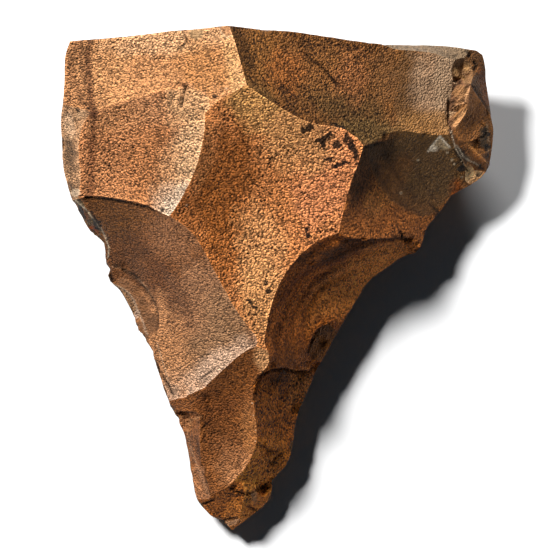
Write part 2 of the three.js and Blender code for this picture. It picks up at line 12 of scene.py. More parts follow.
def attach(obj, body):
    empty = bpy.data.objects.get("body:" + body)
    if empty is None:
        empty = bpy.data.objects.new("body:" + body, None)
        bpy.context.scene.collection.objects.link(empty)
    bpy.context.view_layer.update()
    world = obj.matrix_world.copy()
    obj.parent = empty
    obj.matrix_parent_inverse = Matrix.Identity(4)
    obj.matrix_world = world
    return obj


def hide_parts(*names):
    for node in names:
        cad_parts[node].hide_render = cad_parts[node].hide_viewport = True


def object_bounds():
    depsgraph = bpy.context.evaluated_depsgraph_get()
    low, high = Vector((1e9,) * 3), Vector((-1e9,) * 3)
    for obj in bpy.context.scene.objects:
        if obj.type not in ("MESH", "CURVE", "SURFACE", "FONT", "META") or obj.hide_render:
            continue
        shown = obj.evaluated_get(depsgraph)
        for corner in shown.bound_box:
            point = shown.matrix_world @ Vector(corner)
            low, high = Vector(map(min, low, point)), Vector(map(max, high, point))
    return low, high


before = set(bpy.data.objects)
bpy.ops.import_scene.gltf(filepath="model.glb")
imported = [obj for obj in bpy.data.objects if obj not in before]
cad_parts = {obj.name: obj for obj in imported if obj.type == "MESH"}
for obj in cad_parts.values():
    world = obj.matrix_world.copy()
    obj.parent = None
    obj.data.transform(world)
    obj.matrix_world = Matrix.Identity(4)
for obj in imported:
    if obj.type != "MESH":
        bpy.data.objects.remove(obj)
cad_low, cad_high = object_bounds()

MM = 0.001

# The photograph is 550 pixels square and looks straight down on the stone. One pixel spans PIXEL_MM of the
# plane at the height SCALE_PLANE_MM. ORIGIN_PIXEL shows the frame's origin, and its middle is VIEW_CENTRE_MM.
PHOTO_PIXELS = 550
PIXEL_MM = 0.18
SCALE_PLANE_MM = 13
CAMERA_HEIGHT_MM = 2000
ORIGIN_PIXEL = (277.5, 278.5)
VIEW_CENTRE_MM = (-0.4, 0.73)


def at(pixel_x, pixel_y):
    """A place on the stone, in millimetres, from where it shows in the photograph."""
    return ((pixel_x - ORIGIN_PIXEL[0]) * PIXEL_MM, (ORIGIN_PIXEL[1] - pixel_y) * PIXEL_MM)


def traced(*pixels):
    """A line, an outline or a group of places on the stone, from its pixels in the photograph."""
    return [at(*pixel) for pixel in pixels]


# Scars of the upper face, each with one or more places inside it.
SCAR_PLACES = {
    "pale": traced((90, 75), (150, 65), (215, 70), (225, 40)),
    "left": traced((105, 150), (150, 140), (180, 150), (150, 190), (190, 100)),
    "middle": traced((215, 130), (290, 150), (230, 200), (320, 200), (262, 290), (260, 110)),
    "upper_right": traced((265, 55), (330, 80), (400, 95), (430, 75), (320, 45)),
    "olive": traced((400, 180), (430, 150), (370, 215), (440, 185), (358, 200)),
    "rippled": traced((345, 270), (300, 300), (330, 310), (395, 250), (285, 340)),
    "lower_left": traced((110, 215), (150, 230), (185, 290), (190, 350), (235, 340), (165, 365)),
    "tip_middle": traced((225, 400), (225, 450), (245, 370), (195, 402)),
    "tip_right": traced((283, 400), (270, 450), (290, 385)),
    "crescent": traced((146, 305), (135, 290), (150, 330)),
    "sliver": traced((128, 306), (122, 296)),
    "left_strip": traced((71, 155), (71, 130), (76, 180)),
    "lower_strip": traced((91, 226), (84, 215)),
    "end_pit": traced((461, 70)),
    "end_plates": traced((459, 95), (456, 116)),
    "end_facet": traced((475, 122), (470, 105), (472, 136), (464, 130)),
    "end_outer": traced((479, 78), (474, 55)),
    "end_side": traced((489, 146)),
    "end_low": traced((473, 168)),
    "end_dark": traced((470, 153)),
    "butt_strip": traced((427, 49.5), (400, 47)),
    "nick": traced((325, 342)),
    "tip_fork": traced((262, 470)),
    "retouch_high": traced((188, 419)),
    "retouch_mid": traced((191, 447)),
    "retouch_low": traced((197, 478)),
    "point_left": traced((222, 503)),
    "point_right": traced((256, 502)),
    "point": traced((231, 523)),
}


def linear(hex_colour):
    """An sRGB hex colour as linear values."""
    values = [int(hex_colour[i:i + 2], 16) / 255 for i in (1, 3, 5)]
    return [v / 12.92 if v <= 0.04045 else ((v + 0.055) / 1.055) ** 2.4 for v in values]


def smooth_between(low, high, value):
    """0 below low and 1 above high, with a smooth rise between them."""
    t = np.clip((np.asarray(value, float) - low) / (high - low), 0, 1)
    return t * t * (3 - 2 * t)


def read(items, name, width=1, kind=float):
    """One property of all the items as an array, with a row for each where it has several values."""
    values = np.empty(len(items) * width, dtype=kind)
    items.foreach_get(name, values)
    return values.reshape(-1, width) if width > 1 else values


def positions_mm(mesh):
    """The places of the mesh's points in millimetres."""
    return read(mesh.vertices, "co", 3) / MM


def set_positions(mesh, points):
    """Moves the mesh's points to the given places in millimetres."""
    mesh.vertices.foreach_set("co", (points * MM).ravel())
    mesh.update()


def edge_ends(mesh):
    """The two points that each edge joins."""
    return read(mesh.edges, "vertices", 2, np.int64)


def vertex_normals(mesh):
    """The outward direction of the surface at each point."""
    return read(mesh.vertices, "normal", 3)


# How far apart one seed's noise lies from the next, and how rough and how much finer each further octave is.
SEED_SHIFT = (17.3, 5.1, 9.7)
FRACTAL_INCREMENT = 0.9
LACUNARITY = 2.1


def noise_at(points, size, seed, octaves=1):
    """Smooth noise between about -1 and 1 at each point, for features of that size in millimetres."""
    shift = Vector([seed * part for part in SEED_SHIFT])
    if octaves == 1:
        return np.array([noise.noise(Vector(p) / size + shift) for p in points])
    places = [Vector(p) / size + shift for p in points]
    return np.array([noise.fractal(place, FRACTAL_INCREMENT, LACUNARITY, octaves) for place in places])


# Corners of the solid's triangles that lie this close together are one point.
MERGE_MM = 0.002


def merged_copy():
    """A copy of the stone's solid as one merged mesh."""
    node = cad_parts["flaked_stone"]
    bpy.ops.object.select_all(action="DESELECT")
    stone = bpy.data.objects.new("knapped_stone", node.data.copy())
    bpy.context.collection.objects.link(stone)
    bpy.context.view_layer.objects.active = stone
    stone.select_set(True)
    stone.data.materials.clear()
    bpy.ops.object.mode_set(mode="EDIT")
    bpy.ops.mesh.select_all(action="SELECT")
    bpy.ops.mesh.remove_doubles(threshold=MERGE_MM * MM)
    bpy.ops.object.mode_set(mode="OBJECT")
    return stone


def face_links(mesh):
    """The edges that join two faces each: the edge, its faces, their distance and the angle between them."""
    centres = np.array([f.center for f in mesh.polygons]) / MM
    normals = np.array([f.normal for f in mesh.polygons])
    sides = {}
    for face in mesh.polygons:
        for key in face.edge_keys:
            sides.setdefault(key, []).append(face.index)
    links = []
    for edge in mesh.edges:
        faces = sides.get(edge.key, [])
        if len(faces) == 2:
            a, b = faces
            distance = float(np.linalg.norm(centres[a] - centres[b]))
            angle = math.degrees(math.acos(max(-1, min(1, float(normals[a] @ normals[b])))))
            links.append((edge.index, a, b, distance, angle))
    return centres, normals, links


# Faces that lean up more than this belong to the upper side, and the others count as far away. Going from one
# face to the next costs the distance in millimetres, and much more where the bend is over an easy one, in
# degrees.
UPPER_LEAN = 0.12
FAR_MM = 1000
EASY_BEND = 4
BEND_POWER = 2.5

# The bend in degrees above which an edge is kept sharp: an arris between two scars, and a fold inside one.
ARRIS_BEND = 5
FOLD_BEND = 19


def grow_scars(centres, normals, links):
    """Which scar each face lies in: each scar grows from its own places and hardly crosses an arris."""
    names = list(SCAR_PLACES)
    scar = np.full(len(centres), len(names), dtype=np.int64)
    cost = np.full(len(centres), np.inf)
    around = [[] for _ in centres]
    for _, a, b, distance, angle in links:
        step = distance + (angle / EASY_BEND) ** BEND_POWER
        around[a].append((b, step))
        around[b].append((a, step))
    queue = []
    upper = normals[:, 2] > UPPER_LEAN
    for number, name in enumerate(names):
        for place in SCAR_PLACES[name]:
            away = np.linalg.norm(centres[:, :2] - place, axis=1) + np.where(upper, 0, FAR_MM)
            start = int(away.argmin())
            cost[start] = 0
            scar[start] = number
            heapq.heappush(queue, (0.0, start))
    while queue:
        so_far, face = heapq.heappop(queue)
        if so_far > cost[face]:
            continue
        for other, step in around[face]:
            if upper[other] and so_far + step < cost[other]:
                cost[other] = so_far + step
                scar[other] = scar[face]
                heapq.heappush(queue, (so_far + step, other))
    return scar


def name_scars(mesh):
    """Writes on each face which scar it lies in, and marks the arrises sharp, for the smoothing to keep."""
    centres, normals, links = face_links(mesh)
    scar = grow_scars(centres, normals, links)
    mesh.attributes.new("scar", "INT", "FACE").data.foreach_set("value", scar)
    sharp = np.zeros(len(mesh.edges), dtype=bool)
    for edge, a, b, _, angle in links:
        sharp[edge] = angle > (ARRIS_BEND if scar[a] != scar[b] else FOLD_BEND)
    layer = mesh.attributes.get("sharp_edge") or mesh.attributes.new("sharp_edge", "BOOLEAN", "EDGE")
    layer.data.foreach_set("value", sharp)


def refine(mesh, chosen):
    """Halves the edges of the chosen faces and leaves triangles only."""
    work = bmesh.new()
    work.from_mesh(mesh)
    edges = {edge for face, wanted in zip(work.faces, chosen) if wanted for edge in face.edges}
    bmesh.ops.subdivide_edges(work, edges=list(edges), cuts=1, use_grid_fill=True)
    bmesh.ops.triangulate(work, faces=[face for face in work.faces if len(face.verts) > 3])
    work.to_mesh(mesh)
    work.free()


def sharp_edges(mesh):
    """Which edges are marked as arrises or folds."""
    return read(mesh.attributes["sharp_edge"].data, "value", kind=bool)


def relax(points, ends, free, rounds, strength=0.5):
    """Moves each free point towards the mean of its neighbours along the given edges."""
    points = points.copy()
    for _ in range(rounds):
        total = np.zeros_like(points)
        count = np.zeros(len(points))
        for a, b in ((0, 1), (1, 0)):
            np.add.at(total, ends[:, a], points[ends[:, b]])
            np.add.at(count, ends[:, a], 1)
        moved = free & (count > 0)
        mean = total[moved] / count[moved, None]
        points[moved] += strength * (mean - points[moved])
    return points


def smooth_skins(mesh):
    """Evens out the facets inside each scar and the corners along each arris, which stays crisp."""
    points = positions_mm(mesh)
    ends = edge_ends(mesh)
    sharp = sharp_edges(mesh)
    on_arris = np.zeros(len(points), dtype=np.int64)
    np.add.at(on_arris, ends[sharp].ravel(), 1)
    points = relax(points, ends[sharp], on_arris == 2, rounds=6)
    points = relax(points, ends, on_arris == 0, rounds=14)
    points[:, 2] = np.maximum(points[:, 2], 0)
    set_positions(mesh, points)


def arris_points(mesh):
    """Which points lie on an arris."""
    on_arris = np.zeros(len(mesh.vertices), dtype=bool)
    on_arris[edge_ends(mesh)[sharp_edges(mesh)].ravel()] = True
    return on_arris


def distance_to(points, targets):
    """How far each point lies from the nearest of the targets."""
    tree = kdtree.KDTree(len(targets))
    for index, target in enumerate(targets):
        tree.insert(target, index)
    tree.balance()
    return np.array([tree.find(p)[2] for p in points])


def corner_scars(mesh):
    """The vertex and the scar of each face corner."""
    per_face = read(mesh.attributes["scar"].data, "value", kind=np.int64)
    corners = read(mesh.loops, "vertex_index", kind=np.int64)
    totals = read(mesh.polygons, "loop_total", kind=np.int64)
    return corners, np.repeat(per_face, totals)


# Ripples that spread from where a blow fell: scar, the place of the blow, spacing, height, how far from the
# blow they have grown to their full height, and seed.
RIPPLES = [
    ("rippled", (16.5, -9.3, 9), 3.3, 0.34, 15, 1),
    ("lower_left", (-31, -6, 8), 7.5, 0.14, 20, 2),
    ("olive", (33, 8, 10), 6.2, 0.1, 14, 3),
    ("upper_right", (22, 52, 20), 7.2, 0.1, 24, 4),
    ("middle", (-8, 38, 31), 8.2, 0.08, 40, 5),
    ("left", (-42, 30, 16), 6.8, 0.08, 24, 6),
    ("tip_middle", (-17, -24, 8), 5.0, 0.1, 14, 7),
    ("tip_right", (6, -24, 7), 4.4, 0.12, 8, 8),
    ("crescent", (-31, -2, 8), 2.6, 0.06, 6, 9),
]

# Ripples start weak beside the blow and fade out between these distances from an arris. They wander and swell
# over these lengths. Each carries a finer one, with these shares of its height and spacing.
WEAK_RIPPLE = 0.2
RIPPLE_FADE_MM = (0.2, 2.0)
WANDER_MM = 1.2
WANDER_LENGTH_MM = 9
SWELL_LENGTH_MM = 11
SWELL_SEEDS_FROM = 20
FINER_HEIGHT = 0.3
FINER_SPACING = 0.43


def ripple(points, numbers, normals, edge_distance):
    """Conchoidal ripples inside the scars, which grow away from the blow and fade out at the arrises."""
    names = list(SCAR_PLACES)
    height = np.zeros(len(points))
    fade = smooth_between(*RIPPLE_FADE_MM, edge_distance)
    for name, centre, spacing, amplitude, full, seed in RIPPLES:
        inside = np.flatnonzero(numbers == names.index(name))
        here = points[inside]
        reach = np.linalg.norm(here - centre, axis=1)
        grown = WEAK_RIPPLE + (1 - WEAK_RIPPLE) * smooth_between(0.5 * full, full, reach)
        wander = WANDER_MM * noise_at(here, WANDER_LENGTH_MM, seed)
        turns = 2 * math.pi * (reach + wander) / spacing
        wave = np.sin(turns) + FINER_HEIGHT * np.sin(turns / FINER_SPACING)
        swell = 0.65 + 0.7 * noise_at(here, SWELL_LENGTH_MM, SWELL_SEEDS_FROM + seed)
        height[inside] += amplitude * wave * swell * grown * fade[inside]
    return points + normals * height[:, None]


# The battered end, beyond these places across and along, is left out of the chipping: it has scars enough.
BATTERED_FROM_MM, BATTERED_ABOVE_MM = at(444, 192)

# Chips along the arrises, and wider ones along the rim, where it is steep and clear of the table.
CHIPS = {"count": 420, "widest": 2.0, "deepest": 0.13, "seed": 5}
RIM_CHIPS = {"count": 240, "widest": 2.4, "deepest": 0.22, "seed": 9}
RIM_LEAN = 0.75
RIM_ABOVE_MM = 4

# The smallest and the shallowest chip, as a share of the widest and the deepest; below a share of the widest,
# given as its inverse, a chip is shallower too. A chip's blow came from this far off the arris's own outside.
SMALLEST_CHIP = 0.25
SHALLOWEST_CHIP = 0.3
SMALL_IS_SHALLOW = 1.7
BLOW_TILT = 0.7


def chip_edges(points, edge_points, edge_normals, count, widest, deepest, seed):
    """Small chips struck off along the arrises, of uneven size and at uneven steps: what lies inside a ball
    that bites into the arris from outside is pressed back to the ball's surface."""
    chooser = random.Random(seed)
    for _ in range(count):
        index = chooser.randrange(len(edge_points))
        radius = chooser.uniform(SMALLEST_CHIP, 1) * widest
        depth = chooser.uniform(SHALLOWEST_CHIP, 1) * deepest * min(1.0, SMALL_IS_SHALLOW * radius / widest)
        tilt = Vector((chooser.uniform(-1, 1), chooser.uniform(-1, 1), chooser.uniform(-0.3, 0.6)))
        outward = (Vector(edge_normals[index]) + BLOW_TILT * tilt).normalized()
        centre = np.array(Vector(edge_points[index]) + outward * (radius - depth))
        offset = points - centre
        distance = np.linalg.norm(offset, axis=1)
        inside = distance < radius
        points[inside] = centre + offset[inside] / distance[inside, None] * radius
    return points


def nearest_on_line(points, line):
    """Seen from above: each point's nearest place on a line, how far it lies from there, how far along the
    line that is from 0 to 1, and which side of the line the point is on (1 is left of its direction)."""
    flat = points[:, :2]
    best = np.full(len(points), np.inf)
    place = flat.copy()
    along = np.zeros(len(points))
    side = np.ones(len(points))
    lengths = [math.dist(a, b) for a, b in zip(line[:-1], line[1:])]
    passed = 0.0
    for start, end, length in zip(line[:-1], line[1:], lengths):
        a, b = np.array(start), np.array(end)
        t = np.clip((flat - a) @ (b - a) / length ** 2, 0, 1)
        foot = a + t[:, None] * (b - a)
        away = np.linalg.norm(flat - foot, axis=1)
        closer = away < best
        best[closer] = away[closer]
        place[closer] = foot[closer]
        along[closer] = (passed + t[closer] * length) / sum(lengths)
        turn = (b - a)[0] * (flat - a)[:, 1] - (b - a)[1] * (flat - a)[:, 0]
        side[closer] = np.where(turn[closer] >= 0, 1.0, -1.0)
        passed += length
    return place, best, along, side


# Open cracks and the feet of step fractures, dark with dirt and with painted shade, as under an arris or a
# step: the places that they run through, half width and depth.
CRACKS = [
    (traced((183, 33), (187, 38), (187, 43), (180, 50)), 0.22, 0.2),
    (traced((179, 84), (183, 85.5), (186.5, 87), (184.5, 93), (183, 100), (181, 108)), 0.3, 0.5),
    (traced((300, 50), (306, 54), (313, 62), (320, 66), (327, 73), (334, 82), (346, 90)), 0.26, 0.2),
    (traced((177, 413), (182, 411.5), (193, 412), (202, 415), (203, 420), (196, 424)), 0.12, 0.16),
    (traced((199, 432), (206, 424), (211, 420)), 0.24, 0.2),
    (traced((228, 486), (236, 491), (245, 494), (256, 491), (262, 488), (267, 484)), 0.17, 0.22),
    (traced((222, 521), (230, 519), (238, 518)), 0.16, 0.2),
    (traced((246, 506), (251, 508), (258, 511)), 0.2, 0.25),
    (traced((202, 505), (208, 503), (215, 500)), 0.26, 0.3),
    (traced((201, 379), (206, 374), (214, 370)), 0.22, 0.16),
    (traced((452, 92), (454, 86), (460, 83), (470, 84.5)), 0.17, 0.2),
    (traced((472, 85), (480, 96), (487, 108), (489, 117)), 0.2, 0.25),
    (traced((453, 110), (459, 104.5), (463, 101), (466, 104), (468, 110)), 0.15, 0.18),
    (traced((451, 124), (456, 117), (462, 110)), 0.12, 0.12),
    (traced((473, 60), (476, 65), (475, 70), (472, 68)), 0.2, 0.25),
    (traced((467, 50), (470, 54), (469, 58)), 0.3, 0.3),
    (traced((480, 122), (486, 126), (487, 132), (484, 136), (478, 138), (480, 145), (478, 150)), 0.17, 0.2),
    (traced((455, 150), (460, 158), (465, 167), (470, 172)), 0.2, 0.25),
    (traced((449, 98), (448, 112), (449, 125), (452, 137)), 0.2, 0.25),
    (traced((365, 148), (375, 145), (385, 142)), 0.2, 0.25),
    (traced((254, 396), (255, 386), (260, 377), (272, 370.5), (285, 369), (297, 372), (309, 371)), 0.3, 0.4),
    (traced((308, 356), (310, 345), (314, 335), (319, 329), (326, 324)), 0.18, 0.15),
    (traced((246, 195), (245, 190), (244, 182), (247, 177), (253, 175)), 0.16, 0.16),
    (traced((272, 173), (270, 163), (276, 156), (288, 146)), 0.12, 0.1),
    (traced((340, 241), (355, 240), (375, 240), (400, 239), (414, 238)), 0.3, 0.25),
    (traced((400, 230), (403, 234), (402, 239)), 0.3, 0.3),
    (traced((434, 207), (440, 212), (437, 215)), 0.22, 0.2),
    (traced((80, 197.5), (92, 196.5), (110, 199), (130, 202.5), (148, 207), (160, 213)), 0.26, 0.2),
    (traced((106, 266), (109, 272), (112, 283)), 0.4, 0.3),
    (traced((112, 264), (122, 268), (132, 273), (140, 280)), 0.26, 0.2),
    (traced((255, 382), (254, 390), (255, 400)), 0.26, 0.25),
    (traced((196, 436), (201, 460), (207, 482), (211, 497)), 0.2, 0.12),
    (traced((138, 338), (143, 352), (150, 366), (153, 378)), 0.22, 0.2),
    (traced((152, 352), (160, 372), (170, 388), (175, 397)), 0.26, 0.2),
    (traced((256, 444), (264, 446), (272, 452), (282, 450)), 0.16, 0.16),
    (traced((268, 466), (276, 458), (284, 452)), 0.16, 0.16),
    (traced((137, 281), (146, 288), (152, 297), (157, 307), (158.5, 316), (158, 326), (154, 340)),
     0.14, 0.14),
]

# Step fractures, where a flake broke off short: the line that its edge follows, with the lower side on the
# right of its direction, the depth of the step and how far the lower side takes to rise again.
STEPS = [
    (traced((254, 396), (255, 386), (260, 377), (272, 370.5), (285, 369), (297, 372), (311, 371)), 0.8, 2.4),
    (traced((308, 356), (310, 345), (314, 335), (319, 329), (326, 324), (334, 320)), 0.4, 1.6),
    (traced((187, 86), (184.5, 93), (183, 100), (181, 109)), 0.3, 1.5),
    (traced((362, 148), (375, 145), (385, 142), (392, 138)), 0.25, 2.0),
    (traced((338, 241), (355, 240), (375, 240), (400, 239), (416, 238)), 0.5, 2.6),
    (traced((80, 197.5), (92, 196.5), (110, 199), (130, 202.5), (148, 207), (162, 214)), 0.4, 2.2),
    (traced((175, 413), (182, 411.5), (193, 412), (203, 416)), 0.16, 1.8),
    (traced((227, 486), (236, 491), (245, 494), (256, 491), (262, 488), (268, 484)), 0.24, 1.4),
    (traced((245, 506), (251, 508), (259, 512)), 0.25, 1.2),
    (traced((221, 521), (230, 519), (240, 518)), 0.15, 1.0),
    (traced((197, 436), (201, 460), (207, 482), (211, 497)), 0.28, 2.0),
    (traced((255, 444), (264, 446), (272, 452), (283, 450)), 0.18, 1.6),
    (traced((266, 468), (276, 458), (285, 451)), 0.18, 1.6),
    (traced((137, 280), (146, 288), (152, 297), (157, 307), (158.5, 316), (158, 326), (154, 340)), 0.35, 1.8),
    (traced((112, 283), (122, 288), (128, 292), (134, 300), (137, 309), (143, 322), (148, 336)), 0.3, 1.2),
    (traced((297, 38), (305, 50), (312, 60), (320, 65), (327, 73), (334, 81), (346, 90)), 0.16, 3.0),
    (traced((478, 138), (480, 145), (478, 150)), 0.4, 1.2),
    (traced((449, 98), (448, 112), (449, 125), (452, 137)), -0.3, 1.4),
]

# Thin pale edges of translucent flakes: the places that they run through, colour and strength.
PALE_LINES = [
    (traced((451, 131), (453, 139), (456, 149), (461, 158), (465, 167)), "#C8B498", 0.75),
    (traced((457, 145), (463, 155), (470, 160), (480, 165)), "#BCA98E", 0.8),
    (traced((467, 142), (475, 150), (482, 157), (488, 162)), "#C08448", 0.7),
    (traced((487, 124), (489, 136), (489, 150)), "#A88C6C", 0.6),
    (traced((453, 108), (457, 105), (463, 103)), "#D8A070", 0.8),
    (traced((470, 87), (466, 96), (465, 104)), "#C89468", 0.7),
    (traced((428, 151), (433, 144), (440, 136), (444, 141), (450, 147)), "#F4E2C8", 0.95),
    (traced((76, 200), (85, 208), (91, 215), (97, 223), (102, 230), (106, 238), (109, 247), (108, 257)),
     "#B8A488", 0.85),
    (traced((112, 283), (122, 288), (128, 292), (134, 300), (137, 309), (143, 322), (147, 334)),
     "#C0A084", 0.7),
    (traced((220, 29), (222, 34), (227, 39), (231, 37)), "#ECC498", 0.7),
    (traced((157, 342), (160, 352), (164, 366), (169, 382), (173, 395)), "#D0A884", 0.6),
    (traced((112, 266), (124, 268), (136, 276), (146, 286), (153, 298), (158, 312)), "#B08C6C", 0.5),
    (traced((178, 416), (190, 420), (202, 416)), "#A87C54", 0.6),
    (traced((187, 430), (190, 445), (196, 462), (203, 480), (208, 494)), "#B08460", 0.6),
    (traced((171, 40), (177, 46), (183, 50), (186, 45), (182, 38)), "#E4BC8C", 0.5),
]

# All of these lines, which points of the mesh are drawn to.
LINES = [line for line, *_ in CRACKS + STEPS + PALE_LINES]

# Points this near to a line are drawn to it, where the face leans up at least this much.
DRAWN_WITHIN_MM = 0.11
DRAWN_LEAN = 0.4


def draw_to_lines(points, normals):
    """Slides points that lie close to a crack, step or pale edge sideways onto it, so that it is crisp."""
    for line in LINES:
        place, away, _, _ = nearest_on_line(points, line)
        near = (away < DRAWN_WITHIN_MM) & (normals[:, 2] > DRAWN_LEAN)
        shift = place[near] - points[near, :2]
        lean = normals[near]
        points[near, 2] -= (lean[:, 0] * shift[:, 0] + lean[:, 1] * shift[:, 1]) / lean[:, 2]
        points[near, :2] = place[near]
    return points


# The share of its length over which a step fades out at each end, the lip that it keeps, and how it rises.
STEP_FADE = 0.15
STEP_LIP_MM = 0.03
STEP_RISE_POWER = 1.5

# The same share for a crack, how much of it is left at its ends, the dirt and painted shade in a shallow one,
# and the depth that holds the most dirt and painted shade.
CRACK_FADE = 0.12
CRACK_END = 0.35
LEAST_DIRT_AND_SHADE = 0.6
DIRT_AND_SHADE_DEPTH_MM = 0.3


def cut_steps(points, normals):
    """Presses in the lower side of each step fracture; a step of negative depth is lower on its left."""
    depth = np.zeros(len(points))
    upper = normals[:, 2] > 0
    for line, deep, rise in STEPS:
        _, away, along, side = nearest_on_line(points, line)
        ends = smooth_between(0, STEP_FADE, along) * smooth_between(0, STEP_FADE, 1 - along)
        lower = (side * np.sign(deep) < 0) & (away > STEP_LIP_MM)
        slope = np.exp(-(away / rise) ** STEP_RISE_POWER)
        depth = np.maximum(depth, abs(deep) * slope * lower * ends * upper)
    return points - normals * depth[:, None]


def crack_open(points, normals):
    """Presses the cracks into the upper face; returns their dirt and painted shade at each point, 0 to 1."""
    depth = np.zeros(len(points))
    shade = np.zeros(len(points))
    upper = normals[:, 2] > 0
    for line, half_width, deep in CRACKS:
        _, away, along, _ = nearest_on_line(points, line)
        ends = smooth_between(0, CRACK_FADE, along) * smooth_between(0, CRACK_FADE, 1 - along)
        profile = np.exp(-(away / half_width) ** 2) * upper * (CRACK_END + (1 - CRACK_END) * ends)
        dirt_and_shade = LEAST_DIRT_AND_SHADE + (1 - LEAST_DIRT_AND_SHADE) * min(1.0, deep / DIRT_AND_SHADE_DEPTH_MM)
        depth = np.maximum(depth, deep * profile)
        shade = np.maximum(shade, dirt_and_shade * profile)
    return points - normals * depth[:, None], shade


# Patina of each scar as sRGB: its own colour, how dense its dark specks are, how smooth it has worn, and how
# strong the pale bruise along its rim is, partly a painted highlight that is strong on the rims facing the
# key lamp.
PATINA = {
    "pale": ("#DD9963", 0.16, 0.15, 0.9),
    "left": ("#DF945E", 0.42, 0.0, 1.0),
    "middle": ("#EF9756", 0.5, 0.0, 0.7),
    # Darker than its own colour: painted shade, as this scar turns away from the key lamp.
    "upper_right": ("#835328", 0.6, 0.05, 0.15),
    "olive": ("#B56A30", 0.25, 0.15, 0.1),
    "rippled": ("#BA6622", 0.3, 0.15, 0.1),
    "lower_left": ("#915B33", 0.1, 0.3, 0.65),
    "tip_middle": ("#8C5327", 0.3, 0.4, 0.6),
    "tip_right": ("#C66F26", 0.6, 0.1, 0.2),
    "crescent": ("#7E5434", 0.05, 0.8, 0.7),
    "sliver": ("#8C6645", 0.2, 0.5, 0.8),
    "left_strip": ("#D09B6E", 0.25, 0.3, 0.7),
    "lower_strip": ("#564127", 0.1, 0.6, 0.6),
    "end_pit": ("#7A5839", 0.1, 0.6, 0.6),
    "end_plates": ("#63432C", 0.0, 0.7, 0.8),
    "end_facet": ("#9A6231", 0.05, 0.7, 0.6),
    "end_outer": ("#6A4421", 0.05, 0.7, 0.5),
    "end_side": ("#784B21", 0.05, 0.7, 0.6),
    "end_low": ("#AC794C", 0.2, 0.6, 0.8),
    "end_dark": ("#744822", 0.0, 0.8, 0.8),
    "butt_strip": ("#745E46", 0.1, 0.6, 0.5),
    "nick": ("#89511C", 0.4, 0.3, 0.3),
    "tip_fork": ("#FF9A3D", 0.5, 0.1, 0.4),
    "retouch_high": ("#A56D43", 0.3, 0.3, 0.6),
    "retouch_mid": ("#89542E", 0.2, 0.4, 0.8),
    "retouch_low": ("#A36B43", 0.2, 0.4, 0.8),
    "point_left": ("#B76928", 0.5, 0.1, 0.4),
    "point_right": ("#FF983F", 0.4, 0.1, 0.4),
    "point": ("#B86D2B", 0.4, 0.2, 0.5),
    "underside": ("#83582F", 0.45, 0.15, 0.3),
}

# Scars with hackles, the fine splinter lines that fan out from a crushed edge, and how strong these are.
HACKLED = {
    "end_plates": 1.0,
    "end_facet": 0.3,
    "end_outer": 0.2,
    "end_low": 0.6,
    "end_side": 0.2,
    "butt_strip": 0.3,
}

